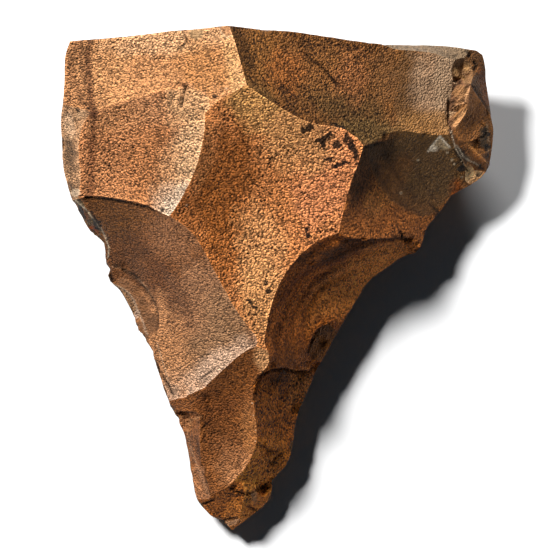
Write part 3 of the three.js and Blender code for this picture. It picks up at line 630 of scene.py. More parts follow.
# Stains and tints of each scar: the middle, the reach across and along, the turn in degrees, the colour, its
# strength, and how ragged its edge is.
STAINS = {
    "left": [
        (at(182, 170), (4.2, 12), -18, "#FFCB97", 0.8, 0.3),
        (at(178, 203), (5, 4), 0, "#FFE8CA", 0.8, 0.3),
        (at(140, 110), (16, 3.5), 8, "#F1AD79", 0.45, 0.3),
        (at(152, 172), (6, 9), 0, "#C57E49", 0.6, 0.3),
        (at(190, 106), (5, 4), 0, "#FFC58C", 0.7, 0.3),
        (at(110, 120), (6, 3), 20, "#EEA266", 0.5, 0.3),
    ],
    "pale": [
        (at(100, 60), (6, 9), 0, "#F5B175", 0.4, 0.3),
        (at(175, 41), (13, 2.6), 4, "#FEC18C", 0.8, 0.3),
        (at(236, 75), (1.6, 8), 15, "#FFC484", 0.6, 0.3),
        (at(206, 66), (5, 6), 0, "#CD884A", 0.5, 0.5),
    ],
    "middle": [
        (at(206, 168), (3, 13), 12, "#B47642", 0.7, 0.4),
        (at(190, 212), (7, 5), 0, "#A15C28", 0.75, 0.4),
        (at(230, 182), (5, 12), -12, "#A45D24", 0.85, 0.3),
        (at(228, 245), (5, 8), -25, "#B16426", 0.7, 0.3),
        (at(325, 175), (6.5, 12), -12, "#FB9F67", 0.8, 0.3),
        (at(262, 255), (5, 10), 10, "#FEB675", 0.6, 0.3),
        (at(262, 300), (4, 8), 10, "#FFB470", 0.8, 0.3),
        # The next two are painted light, which lifts the shade in the top of this scar's dish.
        (at(270, 114), (9, 4.5), -30, "#FFBB6E", 0.9, 0.25),
        (at(298, 138), (8, 7), -30, "#FFB370", 0.8, 0.3),
    ],
    "upper_right": [
        (at(262, 60), (5, 8), 10, "#96612D", 0.8, 0.3),
        (at(241, 48), (1.8, 6), 16, "#3B230A", 0.7, 0.3),
        (at(262, 96), (4, 1.6), -38, "#674D29", 0.6, 0.3),
        (at(345, 105), (8, 4), -20, "#6C512D", 0.6, 0.3),
        (at(322, 70), (10, 5), -20, "#A56B38", 0.6, 0.3),
        (at(409, 92), (3.4, 9), 0, "#503B22", 0.6, 0.3),
        (at(445, 85), (2.2, 8), 0, "#FFDCAF", 0.7, 0.25),
        (at(285, 72), (3.4, 5), 20, "#AE652E", 0.6, 0.4),
        (at(352, 78), (3.4, 5), 0, "#A5673B", 0.7, 0.4),
        (at(437, 85), (5, 8.5), 0, "#B08B6A", 0.85, 0.25),
        (at(385, 75), (3, 6), -10, "#6B492B", 0.5, 0.3),
        (at(425, 125), (7, 3), 0, "#A97641", 0.8, 0.25),
        (at(372, 134), (6, 2.8), -8, "#795B32", 0.85, 0.3),
    ],
    "olive": [
        (at(358, 162), (4, 9), 0, "#5A391D", 0.85, 0.25),
        (at(427, 156), (10, 11), 30, "#704F28", 0.97, 0.08),
        # Painted shade under the arris with the upper_right scar.
        (at(372, 152), (3, 2.4), 0, "#5C3C1C", 0.8, 0.3),
        (at(387, 186), (2.6, 7), -35, "#D68945", 0.75, 0.3),
        (at(456, 189), (1.3, 2), 0, "#A35114", 0.85, 0.3),
    ],
    "lower_left": [
        (at(210, 352), (8, 6), 35, "#B58861", 0.7, 0.25),
        (at(205, 296), (9, 7), 35, "#BE875E", 0.7, 0.3),
        (at(226, 318), (4, 6), 32, "#B2845C", 0.6, 0.2),
        (at(176, 235), (5, 5), 35, "#B67C52", 0.6, 0.3),
        (at(122, 244), (5, 7), 20, "#563218", 0.7, 0.3),
        (at(168, 300), (4.4, 8), 20, "#5F371E", 0.6, 0.3),
        (at(143, 292), (2.4, 8), 12, "#6D472D", 0.6, 0.3),
        # The next two are painted highlight on the pale lower rim of this scar, which faces the key lamp.
        (at(212, 372), (10, 3.2), 37, "#EEC19F", 0.8, 0.2),
        (at(180, 384), (4, 3.4), 0, "#F2C39F", 0.8, 0.2),
        (at(165, 345), (5, 10), 20, "#CF8F5D", 0.8, 0.3),
        (at(110, 214), (9, 5), 0, "#6D421A", 0.7, 0.3),
    ],
    "tip_middle": [
        (at(240, 468), (4, 6), 30, "#CB8A59", 0.8, 0.3),
        (at(228, 444), (4, 5), 20, "#734321", 0.6, 0.3),
        (at(218, 402), (5, 4), 20, "#5F3214", 0.5, 0.3),
        (at(250, 428), (2, 5), 0, "#B77742", 0.6, 0.3),
        (at(235, 378), (6, 3.4), 35, "#7D4617", 0.6, 0.3),
        (at(263, 358), (1.6, 2.8), 0, "#DA9E68", 0.85, 0.3),
    ],
    "rippled": [
        # Painted shade: a dark band along the top of this scar, under the step from the olive scar.
        (at(330, 253), (10, 1.6), 12, "#462606", 0.7, 0.3),
        (at(283, 352), (4, 5), 20, "#9D571A", 0.7, 0.5),
        (at(318, 284), (1.1, 7), -52, "#B66F34", 0.6, 0.2),
        (at(335, 300), (1.2, 8), -48, "#A66432", 0.6, 0.2),
        (at(293, 308), (3, 9), -18, "#DE7D32", 0.7, 0.3),
        (at(362, 278), (12, 4.4), 35, "#FF9D47", 0.8, 0.3),
    ],
    "tip_right": [
        (at(268, 400), (3, 8), 5, "#E98731", 0.6, 0.4),
        (at(285, 378), (5, 1.4), 0, "#5E330A", 0.7, 0.3),
        (at(302, 396), (2.6, 6), 10, "#FF9E4B", 0.6, 0.4),
        (at(268, 455), (4, 4), 0, "#F39131", 0.8, 0.5),
    ],
    "end_plates": [
        (at(460, 112), (1.4, 3.0), -20, "#9A6B3F", 0.7, 0.4),
        (at(462, 93), (1.6, 1.4), 0, "#8F653D", 0.6, 0.4),
    ],
    "end_low": [
        (at(473, 146), (0.9, 1.3), 30, "#B36820", 0.9, 0.3),
        (at(486, 162), (1.1, 1.3), 0, "#FFA036", 0.9, 0.3),
        (at(470, 174), (1.8, 1.2), 0, "#FFD296", 0.7, 0.8),
    ],
    "end_pit": [
        (at(456, 72), (0.5, 0.9), 20, "#F7BE7E", 0.8, 0.3),
        (at(466, 66), (0.6, 0.9), 0, "#A87E50", 0.8, 0.3),
        (at(461, 78), (1.0, 0.6), 0, "#7C5830", 0.7, 0.3),
    ],
    "end_outer": [
        (at(484, 85), (0.9, 4), 12, "#7A3E12", 0.6, 0.4),
    ],
    "lower_strip": [
        (at(84, 214), (1.3, 1.5), 25, "#64300C", 0.8, 0.5),
        (at(91, 231), (1.2, 1.2), 25, "#9B4313", 0.8, 0.5),
    ],
    "left_strip": [
        (at(72, 190), (1.6, 1.6), 0, "#473420", 0.7, 0.5),
        (at(70, 125), (1.2, 3), 0, "#F5C89E", 0.6, 0.4),
        (at(70, 153), (1.5, 3.4), 0, "#513D2A", 0.8, 0.5),
    ],
}

# Patches worn smoother than the scar around them: middle, reach, turn and strength.
WORN_PATCHES = [
    (at(425, 85), (10, 9), 0, 0.75),
    (at(425, 125), (8, 3), 0, 0.6),
    (at(412, 152), (8, 6), 0, 0.4),
    (at(165, 290), (6, 12), 20, 0.3),
]

# Patches with a clear edge, such as the olive fan and flakes of translucent stone: their corners, colour
# and strength.
CLEAR_PATCHES = [
    (traced((366, 146), (371, 165), (379, 185), (391, 200), (404, 208), (420, 216), (434, 214),
            (446, 199), (456, 186), (453, 165), (447, 150), (438, 138), (420, 134), (395, 138),
            (380, 143)), "#5A4024", 0.7),
    (traced((428, 151), (433, 143), (440, 136), (443, 140), (450, 147), (446, 150), (439, 147)),
     "#A88E6C", 1.0),
    (traced((429, 150), (433, 145), (437, 146), (438, 149), (433, 151)), "#ECD8BC", 0.9),
    (traced((189, 31), (205, 30), (203, 38), (197, 42), (191, 38)), "#8E7452", 0.8),
    (traced((221, 522), (232, 520), (240, 519), (236, 525), (227, 527)), "#9A7454", 0.8),
    (traced((251, 492), (257, 490), (257, 503), (253, 503)), "#A87C54", 0.8),
    (traced((136, 309), (140, 311), (137, 318), (134, 315)), "#B0907A", 0.8),
    (traced((453, 104), (462, 92), (465, 94), (455, 110)), "#A87850", 0.5),
    (traced((452, 124), (463, 110), (466, 113), (456, 128)), "#B88658", 0.6),
    (traced((220, 28), (231, 28), (232, 36), (226, 39), (222, 34)), "#9A6C48", 0.75),
    (traced((480, 128), (486, 126), (488, 134), (487, 148), (481, 146), (480, 138)), "#453828", 0.85),
    (traced((455, 147), (462, 148), (470, 157), (466, 164), (460, 156)), "#1C1410", 0.9),
    (traced((472, 148), (478, 151), (487, 160), (482, 164), (475, 157)), "#A8642C", 0.6),
]

# Single pale grains with a painted highlight, as they glint: the place of each.
GLINTS = traced(
    (418, 160), (400, 192), (438, 210), (454, 163), (458, 168), (252, 402), (254, 415), (256, 430),
    (256, 441), (285, 372), (466, 170), (472, 176), (463, 177), (476, 169), (469, 181), (448, 152),
    (452, 158), (187, 205), (164, 213), (226, 89),
)

# Bruised crests, where the pale stone shows: middle, reach, turn, colour and strength.
PALE_CRESTS = [
    (at(76, 192), (1.0, 0.8), 0, "#CDB090", 0.7),
    (at(82, 114), (1.3, 0.7), 30, "#C8A078", 0.5),
]

# Black manganese blotches: middle, reach across and along, turn in degrees and strength.
BLOTCHES = [
    (at(305, 131), (1.0, 0.6), 20, 0.95),
    (at(311, 128), (0.9, 0.6), -30, 0.95),
    (at(318, 141), (0.7, 0.6), 0, 0.9),
    (at(323, 143), (0.7, 0.9), 0, 0.95),
    (at(327, 137), (0.6, 1.5), -40, 0.95),
    (at(339, 127), (1.5, 0.35), -20, 0.95),
    (at(337, 146), (0.8, 0.9), 0, 0.9),
    (at(346, 136), (0.6, 1.0), 0, 0.85),
    (at(351, 146), (0.9, 1.4), 20, 0.8),
    (at(356, 156), (0.7, 1.4), 10, 0.85),
    (at(344, 163), (1.5, 0.6), 10, 0.75),
    (at(330, 159), (0.9, 0.5), 0, 0.85),
    (at(337, 166), (1.0, 0.5), 20, 0.8),
    (at(309, 235), (0.7, 0.5), 0, 0.75),
    (at(307, 229), (0.5, 0.5), 0, 0.75),
    (at(266, 283), (0.6, 0.8), 0, 0.7),
    (at(268, 291), (0.6, 0.6), 0, 0.7),
    (at(250, 301), (0.7, 0.6), 0, 0.65),
    (at(254, 307), (0.7, 0.4), 0, 0.65),
    (at(164, 210), (0.5, 0.4), 0, 0.8),
    (at(216, 97), (0.5, 0.4), 0, 0.9),
    (at(79, 110), (0.6, 0.4), 0, 0.8),
    (at(88, 110), (0.7, 0.4), 30, 0.8),
    (at(96, 110), (0.6, 0.4), -30, 0.8),
    (at(80, 211), (0.6, 1.6), 30, 0.9),
    (at(97, 222), (0.7, 2.0), 30, 0.8),
    (at(486, 132), (0.8, 1.2), 0, 0.8),
    (at(488, 150), (0.7, 2.0), 0, 0.7),
    (at(462, 168), (0.8, 0.8), 0, 0.9),
    (at(481, 172), (0.8, 1.6), -20, 0.9),
    (at(109, 275), (0.7, 1.2), -20, 0.7),
]

# Dark veins and bands, two of these partly painted shade of ripples: the places that each runs through, half
# width and strength.
VEINS = [
    (traced((91, 41), (88, 60), (90, 80), (92, 100), (95, 115)), 0.7, 0.8),
    (traced((95, 115), (94, 130), (92, 150), (92, 170), (91, 195)), 0.7, 0.65),
    (traced((79, 41), (76, 52), (72, 64), (73, 76), (79, 88), (84, 100), (92, 112)), 0.9, 0.5),
    (traced((84, 41), (81, 56), (83, 70), (85, 84), (90, 96)), 0.35, 0.5),
    (traced((68, 92), (71, 98), (69, 106), (67, 112)), 0.35, 0.5),
    # The next two follow the ripples of the rippled scar: partly dark bands in the stone, partly painted
    # shade.
    (traced((282, 302), (289, 288), (300, 275), (320, 263), (346, 257)), 0.6, 0.6),
    (traced((302, 300), (310, 288), (324, 275), (344, 265)), 0.45, 0.5),
    (traced((372, 158), (378, 175), (390, 192), (404, 205), (420, 214)), 0.35, 0.45),
    (traced((384, 152), (393, 170), (406, 188), (421, 204)), 0.5, 0.35),
    (traced((402, 148), (412, 164), (424, 182), (433, 196)), 0.5, 0.3),
]


def within(points, centre, reach, turn):
    """How deep each point lies in an oval, seen from above: 1 in its middle, 0 at its edge, less outside."""
    angle = math.radians(turn)
    across = points[:, 0] - centre[0]
    along = points[:, 1] - centre[1]
    u = (across * math.cos(angle) + along * math.sin(angle)) / reach[0]
    v = (along * math.cos(angle) - across * math.sin(angle)) / reach[1]
    return 1 - np.hypot(u, v)


# Keeps a level side of an outline from a division by zero.
HAIR = 1e-9


def inside_outline(points, corners):
    """How far each point lies inside an outline seen from above, in millimetres; outside it is negative."""
    closed = corners + corners[:1]
    inside = np.zeros(len(points), dtype=bool)
    for (ax, ay), (bx, by) in zip(closed[:-1], closed[1:]):
        spans = (ay > points[:, 1]) != (by > points[:, 1])
        inside ^= spans & (points[:, 0] < ax + (points[:, 1] - ay) * (bx - ax) / (by - ay + HAIR))
    away = nearest_on_line(points, closed)[1]
    return np.where(inside, away, -away)


# Noise that varies the paint: the size in millimetres, seed and octaves of the clouds in the patina, of the
# drift of the underside, of the ragged edges of stains and of the fine edges of blotches.
CLOUDS = (9, 31, 3)
DRIFT = (17, 32, 2)
RAGGED = (2.2, 40, 2)
FINE = (0.8, 50, 2)

# How much clouds and drift brighten red, green and blue, how much drift smooths, and what a vein or a band of
# painted ripple shade takes away.
CLOUD_TINT = 0.2 * np.array([1.0, 1.1, 1.2])
DRIFT_TINT = 0.45 * np.array([0.8, 1.0, 1.1])
DRIFT_SMOOTHS = 0.35
VEIN_AND_RIPPLE_SHADE_TINT = np.array([0.75, 0.8, 0.8])

# Where the edge of each kind of mark begins and where it is at full strength: as the depth in its oval, for a
# flake in millimetres inside its outline, and for a vein as shares of its half width.
STAIN_EDGE = (-0.25, 0.5)
WORN_EDGE = (-0.3, 0.5)
FLAKE_EDGE_MM = (-0.2, 0.1)
CREST_EDGE = (0.0, 0.25)
BLOTCH_EDGE = (0.0, 0.3)
VEIN_EDGE = (0.2, 1.6)

# How ragged the edges of crests, blotches and veins are, and how many of the specks a stain hides.
CREST_RAG = 0.25
BLOTCH_RAG = 0.6
VEIN_RAG = 0.35
STAIN_HIDES = 0.3

# The colour of a painted glint, a highlight on a single grain, and how much of it shows, how smooth a clean
# flake is, and the half width of a pale line and of the pale bruise and painted highlight along an arris.
GLINT_COLOUR = "#E8D2B0"
GLINT_SHOWS = 0.5
FLAKE_SMOOTHNESS = 0.8
PALE_LINE_MM = 0.13
BRUISE_AND_HIGHLIGHT_MM = 0.3


def mix_in(colours, mask, colour):
    """Mixes a colour into the colours of the points, as far as the mask says."""
    colours += mask[:, None] * (np.array(linear(colour)) - colours)


def stained(points, numbers, names, ragged, colours, specks, worn):
    """The colours, specks and smoothness with the clouds, the drift and the stains of each scar."""
    below = np.where(numbers == names.index("underside"), 1.0, 0.0)
    drift = below * noise_at(points, *DRIFT)
    colours *= 1 + noise_at(points, *CLOUDS)[:, None] * CLOUD_TINT
    colours *= 1 + drift[:, None] * DRIFT_TINT
    for name, stains in STAINS.items():
        here = numbers == names.index(name)
        for centre, reach, turn, colour, strength, rag in stains:
            depth = within(points, centre, reach, turn) + rag * ragged
            mask = here * strength * smooth_between(*STAIN_EDGE, depth)
            mix_in(colours, mask, colour)
            specks = specks * (1 - STAIN_HIDES * mask)
    return colours, specks, np.clip(worn + DRIFT_SMOOTHS * drift, 0, 1)


def cleaned(points, upper, fine, colours, specks, worn):
    """The colours, specks and smoothness with the worn patches, clean flakes, glints and pale edges."""
    for centre, reach, turn, strength in WORN_PATCHES:
        mask = upper * strength * smooth_between(*WORN_EDGE, within(points, centre, reach, turn))
        worn = worn + mask * (1 - worn)
        specks = specks * (1 - mask)
    for corners, colour, strength in CLEAR_PATCHES:
        mask = upper * strength * smooth_between(*FLAKE_EDGE_MM, inside_outline(points, corners))
        mix_in(colours, mask, colour)
        specks = specks * (1 - mask)
        worn = worn + mask * (FLAKE_SMOOTHNESS - worn)
    # Painted highlight: a glint on a single grain.
    for place in GLINTS:
        away = np.linalg.norm(points[:, :2] - place, axis=1) + np.where(upper, 0, FAR_MM)
        grain = int(away.argmin())
        colours[grain] += GLINT_SHOWS * (np.array(linear(GLINT_COLOUR)) - colours[grain])
    for centre, reach, turn, colour, strength in PALE_CRESTS:
        depth = within(points, centre, reach, turn) + CREST_RAG * fine
        mask = upper * strength * smooth_between(*CREST_EDGE, depth)
        mix_in(colours, mask, colour)
        specks = specks * (1 - mask)
        worn = worn + mask * (FLAKE_SMOOTHNESS - worn)
    for line, colour, strength in PALE_LINES:
        mask = upper * strength * np.exp(-(nearest_on_line(points, line)[1] / PALE_LINE_MM) ** 2)
        mix_in(colours, mask, colour)
        specks = specks * (1 - mask)
    return colours, specks, worn


def blackened(points, upper, fine):
    """How black with manganese each point is, from 0 to 1."""
    dark = np.zeros(len(points))
    for centre, reach, turn, strength in BLOTCHES:
        depth = within(points, centre, reach, turn) + BLOTCH_RAG * fine
        dark = np.maximum(dark, strength * upper * smooth_between(*BLOTCH_EDGE, depth))
    return dark


def paint(mesh, points, numbers, arris_distance, crack_shade, back):
    """Writes the patina, speck density, smoothness, the pale bruise and painted highlight of the rims, and
    the dirt and painted shade in the cracks as attributes of the face corners, so that the scars meet
    sharply; back says which of the points each corner is."""
    names = list(SCAR_PLACES) + ["underside"]
    colours = np.array([linear(PATINA[name][0]) for name in names])[numbers]
    specks, worn, bruise_and_highlight_strength = np.array([PATINA[name][1:] for name in names])[numbers].T
    hackled = np.array([HACKLED.get(name, 0.0) for name in names])[numbers]
    upper = numbers != names.index("underside")
    ragged = noise_at(points, *RAGGED)
    fine = noise_at(points, *FINE)
    colours, specks, worn = stained(points, numbers, names, ragged, colours, specks, worn)
    colours, specks, worn = cleaned(points, upper, fine, colours, specks, worn)
    dark = blackened(points, upper, fine)
    for line, half_width, strength in VEINS:
        away = nearest_on_line(points, line)[1] * (1 - VEIN_RAG * ragged) / half_width
        vein_and_ripple_shade = strength * upper * (1 - smooth_between(*VEIN_EDGE, away))
        colours *= 1 - vein_and_ripple_shade[:, None] * VEIN_AND_RIPPLE_SHADE_TINT
    # Pale bruise along the arrises, partly a painted highlight: as strong as each scar's share in PATINA.
    rim_bruise_and_highlight = bruise_and_highlight_strength * np.exp(-(arris_distance / BRUISE_AND_HIGHLIGHT_MM) ** 2)
    values = {
        "specks": specks,
        "worn": worn,
        "stain": dark,
        "crack": crack_shade,
        "arris": rim_bruise_and_highlight,
        "hackled": hackled,
    }
    for name, value in values.items():
        mesh.attributes.new(name, "FLOAT", "CORNER").data.foreach_set("value", value[back])
    layer = mesh.attributes.new("patina", "FLOAT_VECTOR", "CORNER")
    layer.data.foreach_set("vector", np.clip(colours, 0, 1)[back].ravel())


# Faces that lean up more than LOW_LEAN are made finer once more, and those near an arris or a line yet again
# where they lean up more than SEEN_LEAN.
LOW_LEAN = -0.2
SEEN_LEAN = 0.1
FINE_WITHIN_MM = 0.3

# The skin's unevenness: height in millimetres, then size in millimetres, seed and octaves.
UNEVENNESS = [
    (0.1, (5.5, 60, 3)),
    (0.035, (1.3, 61, 2)),
]


def make_finer(mesh):
    """Splits the solid's facets, evens them out, and splits those along the arrises and lines once more."""
    refine(mesh, [True] * len(mesh.polygons))
    refine(mesh, [face.normal.z > LOW_LEAN for face in mesh.polygons])
    smooth_skins(mesh)
    places = read(mesh.polygons, "center", 3) / MM
    seen = np.array([face.normal.z > SEEN_LEAN for face in mesh.polygons])
    close = distance_to(places, positions_mm(mesh)[arris_points(mesh)]) < FINE_WITHIN_MM
    for line in LINES:
        close |= nearest_on_line(places, line)[1] < FINE_WITHIN_MM
    refine(mesh, close & seen)


def carved_stone():
    """The stone's own surface, from the solid's facets to ripples, chips, cracks and grain."""
    stone = merged_copy()
    mesh = stone.data
    name_scars(mesh)
    make_finer(mesh)
    on_arris = arris_points(mesh)
    points = positions_mm(mesh)
    corners, corner_scar = corner_scars(mesh)
    numbers = np.zeros(len(points), dtype=np.int64)
    numbers[corners] = corner_scar
    arris_distance = distance_to(points, points[on_arris])
    points = ripple(points, numbers, vertex_normals(mesh), arris_distance)
    set_positions(mesh, points)
    normals = vertex_normals(mesh)
    whole = on_arris & ((points[:, 0] < BATTERED_FROM_MM) | (points[:, 1] < BATTERED_ABOVE_MM))
    points = chip_edges(points, points[whole], normals[whole], **CHIPS)
    rim = whole & (abs(normals[:, 2]) < RIM_LEAN) & (points[:, 2] > RIM_ABOVE_MM)
    points = chip_edges(points, points[rim], normals[rim], **RIM_CHIPS)
    points = draw_to_lines(points, normals)
    points = cut_steps(points, normals)
    set_positions(mesh, points)
    normals = vertex_normals(mesh)
    uneven = sum(height * noise_at(points, *kind) for height, kind in UNEVENNESS)
    points += normals * uneven[:, None]
    points, crack_shade = crack_open(points, normals)
    points = np.clip(points, np.array(cad_low) / MM, np.array(cad_high) / MM)
    set_positions(mesh, points)
    pairs, back = np.unique(np.stack([corners, corner_scar], axis=1), axis=0, return_inverse=True)
    vertex, scar = pairs.T
    paint(mesh, points[vertex], scar, arris_distance[vertex], crack_shade[vertex], back.ravel())
    mesh.attributes.remove(mesh.attributes["scar"])
    bpy.ops.object.shade_smooth()
    return stone


def add(tree, kind, inputs=None, **settings):
    """Adds a shader node with its settings, and sets or links its inputs."""
    node = tree.nodes.new("ShaderNode" + kind)
    for name, value in settings.items():
        setattr(node, name, value)
    for name, value in (inputs or {}).items():
        if isinstance(value, bpy.types.NodeSocket):
            tree.links.new(value, node.inputs[name])
        else:
            node.inputs[name].default_value = value
    return node


# Sizes of what is in the stone: the sand grains and their mottle, the specks and the clouds that they gather
# in, the splinter lines and how they are drawn out and turned, the bruising and the unevenness.
SAND = 0.34 * MM
MOTTLE = 0.3 * MM
SPECK = 0.6 * MM
SPECK_CLOUD = 5 * MM
SPLINTER = 0.5 * MM
SPLINTER_STRETCH = (1, 9, 2)
SPLINTER_TURN = math.radians(-42)
PATTERN_TURN = (0.7, 0.4, 0.9)
BRUISE = 1.6 * MM
UNEVEN = 1.3 * MM

# How strongly the seams between the grains, the mottle and the splinter lines show in the tone, which is then
# kept within bounds, and how granular the edge of a stain is. An open scar has the first contrast and a worn
# one the second.
SEAM_TONE = -0.45
SEAM_MEAN = 0.28
MOTTLE_TONE = 1.2
SPLINTER_TONE = 5.0
STAIN_GRAIN = 1.2
CONTRAST = {"To Min": 1.35, "To Max": 0.5}
TONE_BOUNDS = {"Min": 0.25, "Max": 2.2}

# How strongly the unevenness, the splinter lines, the grains and the pits show in the relief, and its depth.
# Its strength and the roughness are given for an open scar and for a worn one.
UNEVEN_RELIEF = 0.4
SPLINTER_RELIEF = 2.0
GRAIN_RELIEF = -0.7
PIT_RELIEF = -0.2
RELIEF_DEPTH = 1.6 * MM
RELIEF_STRENGTH = {"To Min": 1.0, "To Max": 0.45}
ROUGHNESS = {"To Min": 0.7, "To Max": 0.45}


def quartzite():
    """Fine-grained quartzite, flaked and long buried: sand grains under a tan and red-brown iron patina, dull
    on open scars, faintly waxy where it has worn smooth, with dark iron and manganese specks."""
    material = bpy.data.materials.new("patinated_quartzite")
    material.use_nodes = True
    tree = material.node_tree
    tree.nodes.clear()

    # The patterns are turned, so that their own grid lies askew to the stone.
    local = add(tree, "TexCoord").outputs["Object"]
    place = add(tree, "Mapping", {"Vector": local, "Rotation": PATTERN_TURN}).outputs["Vector"]
    patina = add(tree, "Attribute", attribute_name="patina").outputs["Vector"]
    painted = ("specks", "worn", "stain", "crack", "arris", "hackled")
    fields = [add(tree, "Attribute", attribute_name=name).outputs["Fac"] for name in painted]
    specks, worn, stain, crack, arris, hackled = fields

    # Sand grains, each with a tone of its own and a dark seam around it, most on sugary open scars.
    grain = add(tree, "TexNoise", {"Vector": place, "Scale": 1 / MOTTLE, "Detail": 2.0,
                                   "Roughness": 0.6}).outputs["Fac"]
    sand = add(tree, "TexVoronoi", {"Vector": place, "Scale": 1 / SAND})
    from_middle = sand.outputs["Distance"]
    tone = add(tree, "SeparateColor", {"Color": sand.outputs["Color"]}).outputs["Red"]
    centred = add(tree, "Math", {0: grain, 1: 0.5}, operation="SUBTRACT").outputs[0]
    seamed = add(tree, "Math", {0: from_middle, 1: SEAM_TONE, 2: tone}, operation="MULTIPLY_ADD").outputs[0]
    toned = add(tree, "Math", {0: seamed, 1: SEAM_MEAN}, operation="SUBTRACT").outputs[0]
    varied = add(tree, "Math", {0: centred, 1: MOTTLE_TONE, 2: toned}, operation="MULTIPLY_ADD").outputs[0]
    contrast = add(tree, "MapRange", {"Value": worn, **CONTRAST}).outputs["Result"]
    sandy = add(tree, "Math", {0: varied, 1: contrast, 2: 1.0}, operation="MULTIPLY_ADD").outputs[0]

    # Hackles: fine splinter lines some millimetres long.
    combed = add(tree, "Mapping", {"Vector": local, "Rotation": (0, 0, SPLINTER_TURN),
                                   "Scale": SPLINTER_STRETCH}, vector_type="TEXTURE").outputs["Vector"]
    lines = add(tree, "TexNoise", {"Vector": combed, "Scale": 1 / SPLINTER, "Detail": 2.0}).outputs["Fac"]
    level = add(tree, "Math", {0: lines, 1: 0.5}, operation="SUBTRACT").outputs[0]
    splinter = add(tree, "Math", {0: level, 1: hackled}, operation="MULTIPLY").outputs[0]
    light = add(tree, "Math", {0: splinter, 1: SPLINTER_TONE, 2: sandy}, operation="MULTIPLY_ADD").outputs[0]
    bounded = add(tree, "Clamp", {"Value": light, **TONE_BOUNDS}).outputs["Result"]
    mottled = add(tree, "VectorMath", {0: patina, "Scale": bounded}, operation="SCALE").outputs["Vector"]

    # Dark specks of uneven size and outline, one to a cell, crowded in clouds a few millimetres wide.
    noisy = add(tree, "TexNoise", {"Vector": place, "Scale": 1 / MOTTLE, "Detail": 0.0}).outputs["Color"]
    nudged = add(tree, "VectorMath", {0: noisy, 1: (MOTTLE,) * 3, 2: place}, operation="MULTIPLY_ADD")
    cell = add(tree, "TexVoronoi", {"Vector": nudged.outputs["Vector"], "Scale": 1 / SPECK})
    chance = add(tree, "SeparateColor", {"Color": cell.outputs["Color"]}).outputs["Red"]
    cloud = add(tree, "TexNoise", {"Vector": place, "Scale": 1 / SPECK_CLOUD, "Detail": 2.0}).outputs["Fac"]
    crowd = add(tree, "Math", {0: cloud, 1: specks}, operation="ADD").outputs[0]
    reach = add(tree, "MapRange", {"Value": crowd, "From Min": 0.6, "From Max": 1.3, "To Min": -0.3,
                                   "To Max": 0.22}).outputs["Result"]
    radius = add(tree, "Math", {0: chance, 1: 0.45, 2: reach}, operation="MULTIPLY_ADD").outputs[0]
    inner = add(tree, "Math", {0: radius, 1: cell.outputs["Distance"]}, operation="SUBTRACT").outputs[0]
    is_speck = add(tree, "MapRange", {"Value": inner, "From Min": -0.04, "From Max": 0.04, "To Min": 0.0,
                                      "To Max": 0.85}).outputs["Result"]
    spotted = add(tree, "Mix", {"Factor": is_speck, "A": mottled, "B": linear("#2A1406") + [1]},
                  data_type="RGBA").outputs["Result"]

    # Manganese stain with a granular edge, dirt and painted shade in the cracks, and pale bruise with a
    # painted highlight along the arrises.
    granular = add(tree, "Math", {0: centred, 1: STAIN_GRAIN, 2: stain}, operation="MULTIPLY_ADD").outputs[0]
    blackened = add(tree, "MapRange", {"Value": granular, "From Min": 0.3, "From Max": 0.55, "To Min": 0.0,
                                       "To Max": 0.93}).outputs["Result"]
    stained = add(tree, "Mix", {"Factor": blackened, "A": spotted, "B": linear("#171210") + [1]},
                  data_type="RGBA").outputs["Result"]
    dirty_shaded_cracks = add(tree, "Mix", {"Factor": crack, "A": stained, "B": linear("#160C06") + [1]},
                 data_type="RGBA").outputs["Result"]
    broken = add(tree, "TexNoise", {"Vector": place, "Scale": 1 / BRUISE, "Detail": 3.0}).outputs["Fac"]
    bruise_and_highlight_strength = add(tree, "MapRange", {"Value": broken, "From Min": 0.38, "From Max": 0.6, "To Min": 0.15,
                                     "To Max": 1.0}).outputs["Result"]
    rim_bruise_and_highlight = add(tree, "Math", {0: arris, 1: bruise_and_highlight_strength}, operation="MULTIPLY").outputs[0]
    paler_bruise_and_highlight = add(tree, "VectorMath", {0: patina, "Scale": 2.0}, operation="SCALE").outputs["Vector"]
    colour = add(tree, "Mix", {"Factor": rim_bruise_and_highlight, "A": dirty_shaded_cracks, "B": paler_bruise_and_highlight}, data_type="RGBA").outputs["Result"]

    # Relief of the grains, with pits at the specks, over a coarser unevenness; shallower where it is worn.
    rough = add(tree, "TexNoise", {"Vector": place, "Scale": 1 / UNEVEN, "Detail": 2.0}).outputs["Fac"]
    skin = add(tree, "Math", {0: rough, 1: UNEVEN_RELIEF, 2: grain}, operation="MULTIPLY_ADD").outputs[0]
    torn = add(tree, "Math", {0: splinter, 1: SPLINTER_RELIEF, 2: skin}, operation="MULTIPLY_ADD").outputs[0]
    domed = add(tree, "Math", {0: from_middle, 1: GRAIN_RELIEF, 2: torn}, operation="MULTIPLY_ADD").outputs[0]
    pitted = add(tree, "Math", {0: is_speck, 1: PIT_RELIEF, 2: domed}, operation="MULTIPLY_ADD").outputs[0]
    relief = add(tree, "MapRange", {"Value": worn, **RELIEF_STRENGTH}).outputs["Result"]
    bump = add(tree, "Bump", {"Height": pitted, "Distance": RELIEF_DEPTH, "Strength": relief})
    gloss = add(tree, "MapRange", {"Value": worn, **ROUGHNESS}).outputs["Result"]
    shader = add(tree, "BsdfPrincipled", {
        "Base Color": colour,
        "Roughness": gloss,
        "Normal": bump.outputs["Normal"],
        "IOR": 1.54,
        "Specular IOR Level": 0.12,
    })
    add(tree, "OutputMaterial", {"Surface": shader.outputs["BSDF"]})
    return material


# The width of the studio table in metres.
TABLE_M = 6.0


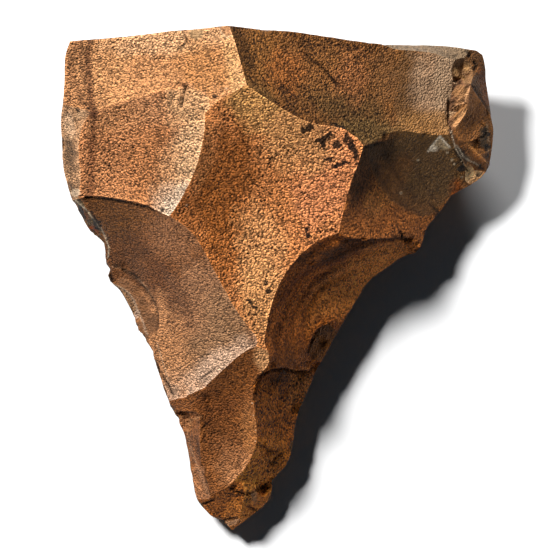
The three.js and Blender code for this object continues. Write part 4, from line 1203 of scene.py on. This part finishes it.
def pale_floor():
    """A matt white studio table, which shows white to the camera and keeps the stone's shadow."""
    bpy.ops.object.select_all(action="DESELECT")
    bpy.ops.mesh.primitive_plane_add(size=TABLE_M, location=(0, 0, 0))
    floor = bpy.context.object
    floor.name = "studio_table"
    material = bpy.data.materials.new("matt_white_table")
    material.use_nodes = True
    shader = material.node_tree.nodes["Principled BSDF"]
    shader.inputs["Base Color"].default_value = linear("#FAFAFA") + [1]
    shader.inputs["Roughness"].default_value = 0.9
    floor.data.materials.append(material)


def area_light(name, direction, distance, size, power):
    """A soft white lamp that shines on the stone from a direction."""
    lamp = bpy.data.lights.new(name, "AREA")
    lamp.shape = "DISK"
    lamp.size = size
    lamp.energy = power
    holder = bpy.data.objects.new(name, lamp)
    bpy.context.collection.objects.link(holder)
    towards = Vector(direction).normalized()
    holder.location = towards * distance
    holder.rotation_euler = towards.to_track_quat("Z", "Y").to_euler()


def studio():
    """A key lamp from the upper left throws the shadow to the lower right, and a weaker low lamp beyond the
    butt rakes across the scars. Faintly blue air keeps the shadow neutral beside the warm stone."""
    area_light("key_lamp", direction=(-0.46, 0.47, 0.76), distance=1.5, size=0.3, power=36)
    area_light("edge_lamp", direction=(-0.08, 0.93, 0.36), distance=1.4, size=0.4, power=13)
    world = bpy.data.worlds.new("studio_air")
    world.use_nodes = True
    air = world.node_tree.nodes["Background"]
    air.inputs["Color"].default_value = linear("#CBE7FF") + [1]
    air.inputs["Strength"].default_value = 0.0225
    bpy.context.scene.world = world
    bpy.context.scene.view_settings.view_transform = "Standard"


def camera():
    """Looks straight down on the stone through a long lens, at the photograph's scale."""
    lens = bpy.data.cameras.new("overhead_camera")
    holder = bpy.data.objects.new("overhead_camera", lens)
    bpy.context.collection.objects.link(holder)
    span = PHOTO_PIXELS * PIXEL_MM
    lens.sensor_width = 36
    lens.lens = lens.sensor_width * (CAMERA_HEIGHT_MM - SCALE_PLANE_MM) / span
    lens.clip_end = 10
    holder.location = (VIEW_CENTRE_MM[0] * MM, VIEW_CENTRE_MM[1] * MM, CAMERA_HEIGHT_MM * MM)
    bpy.context.scene.camera = holder


camera()
studio()
pale_floor()
stone = carved_stone()
stone.data.materials.append(quartzite())
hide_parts("flaked_stone")
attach(stone, "root")
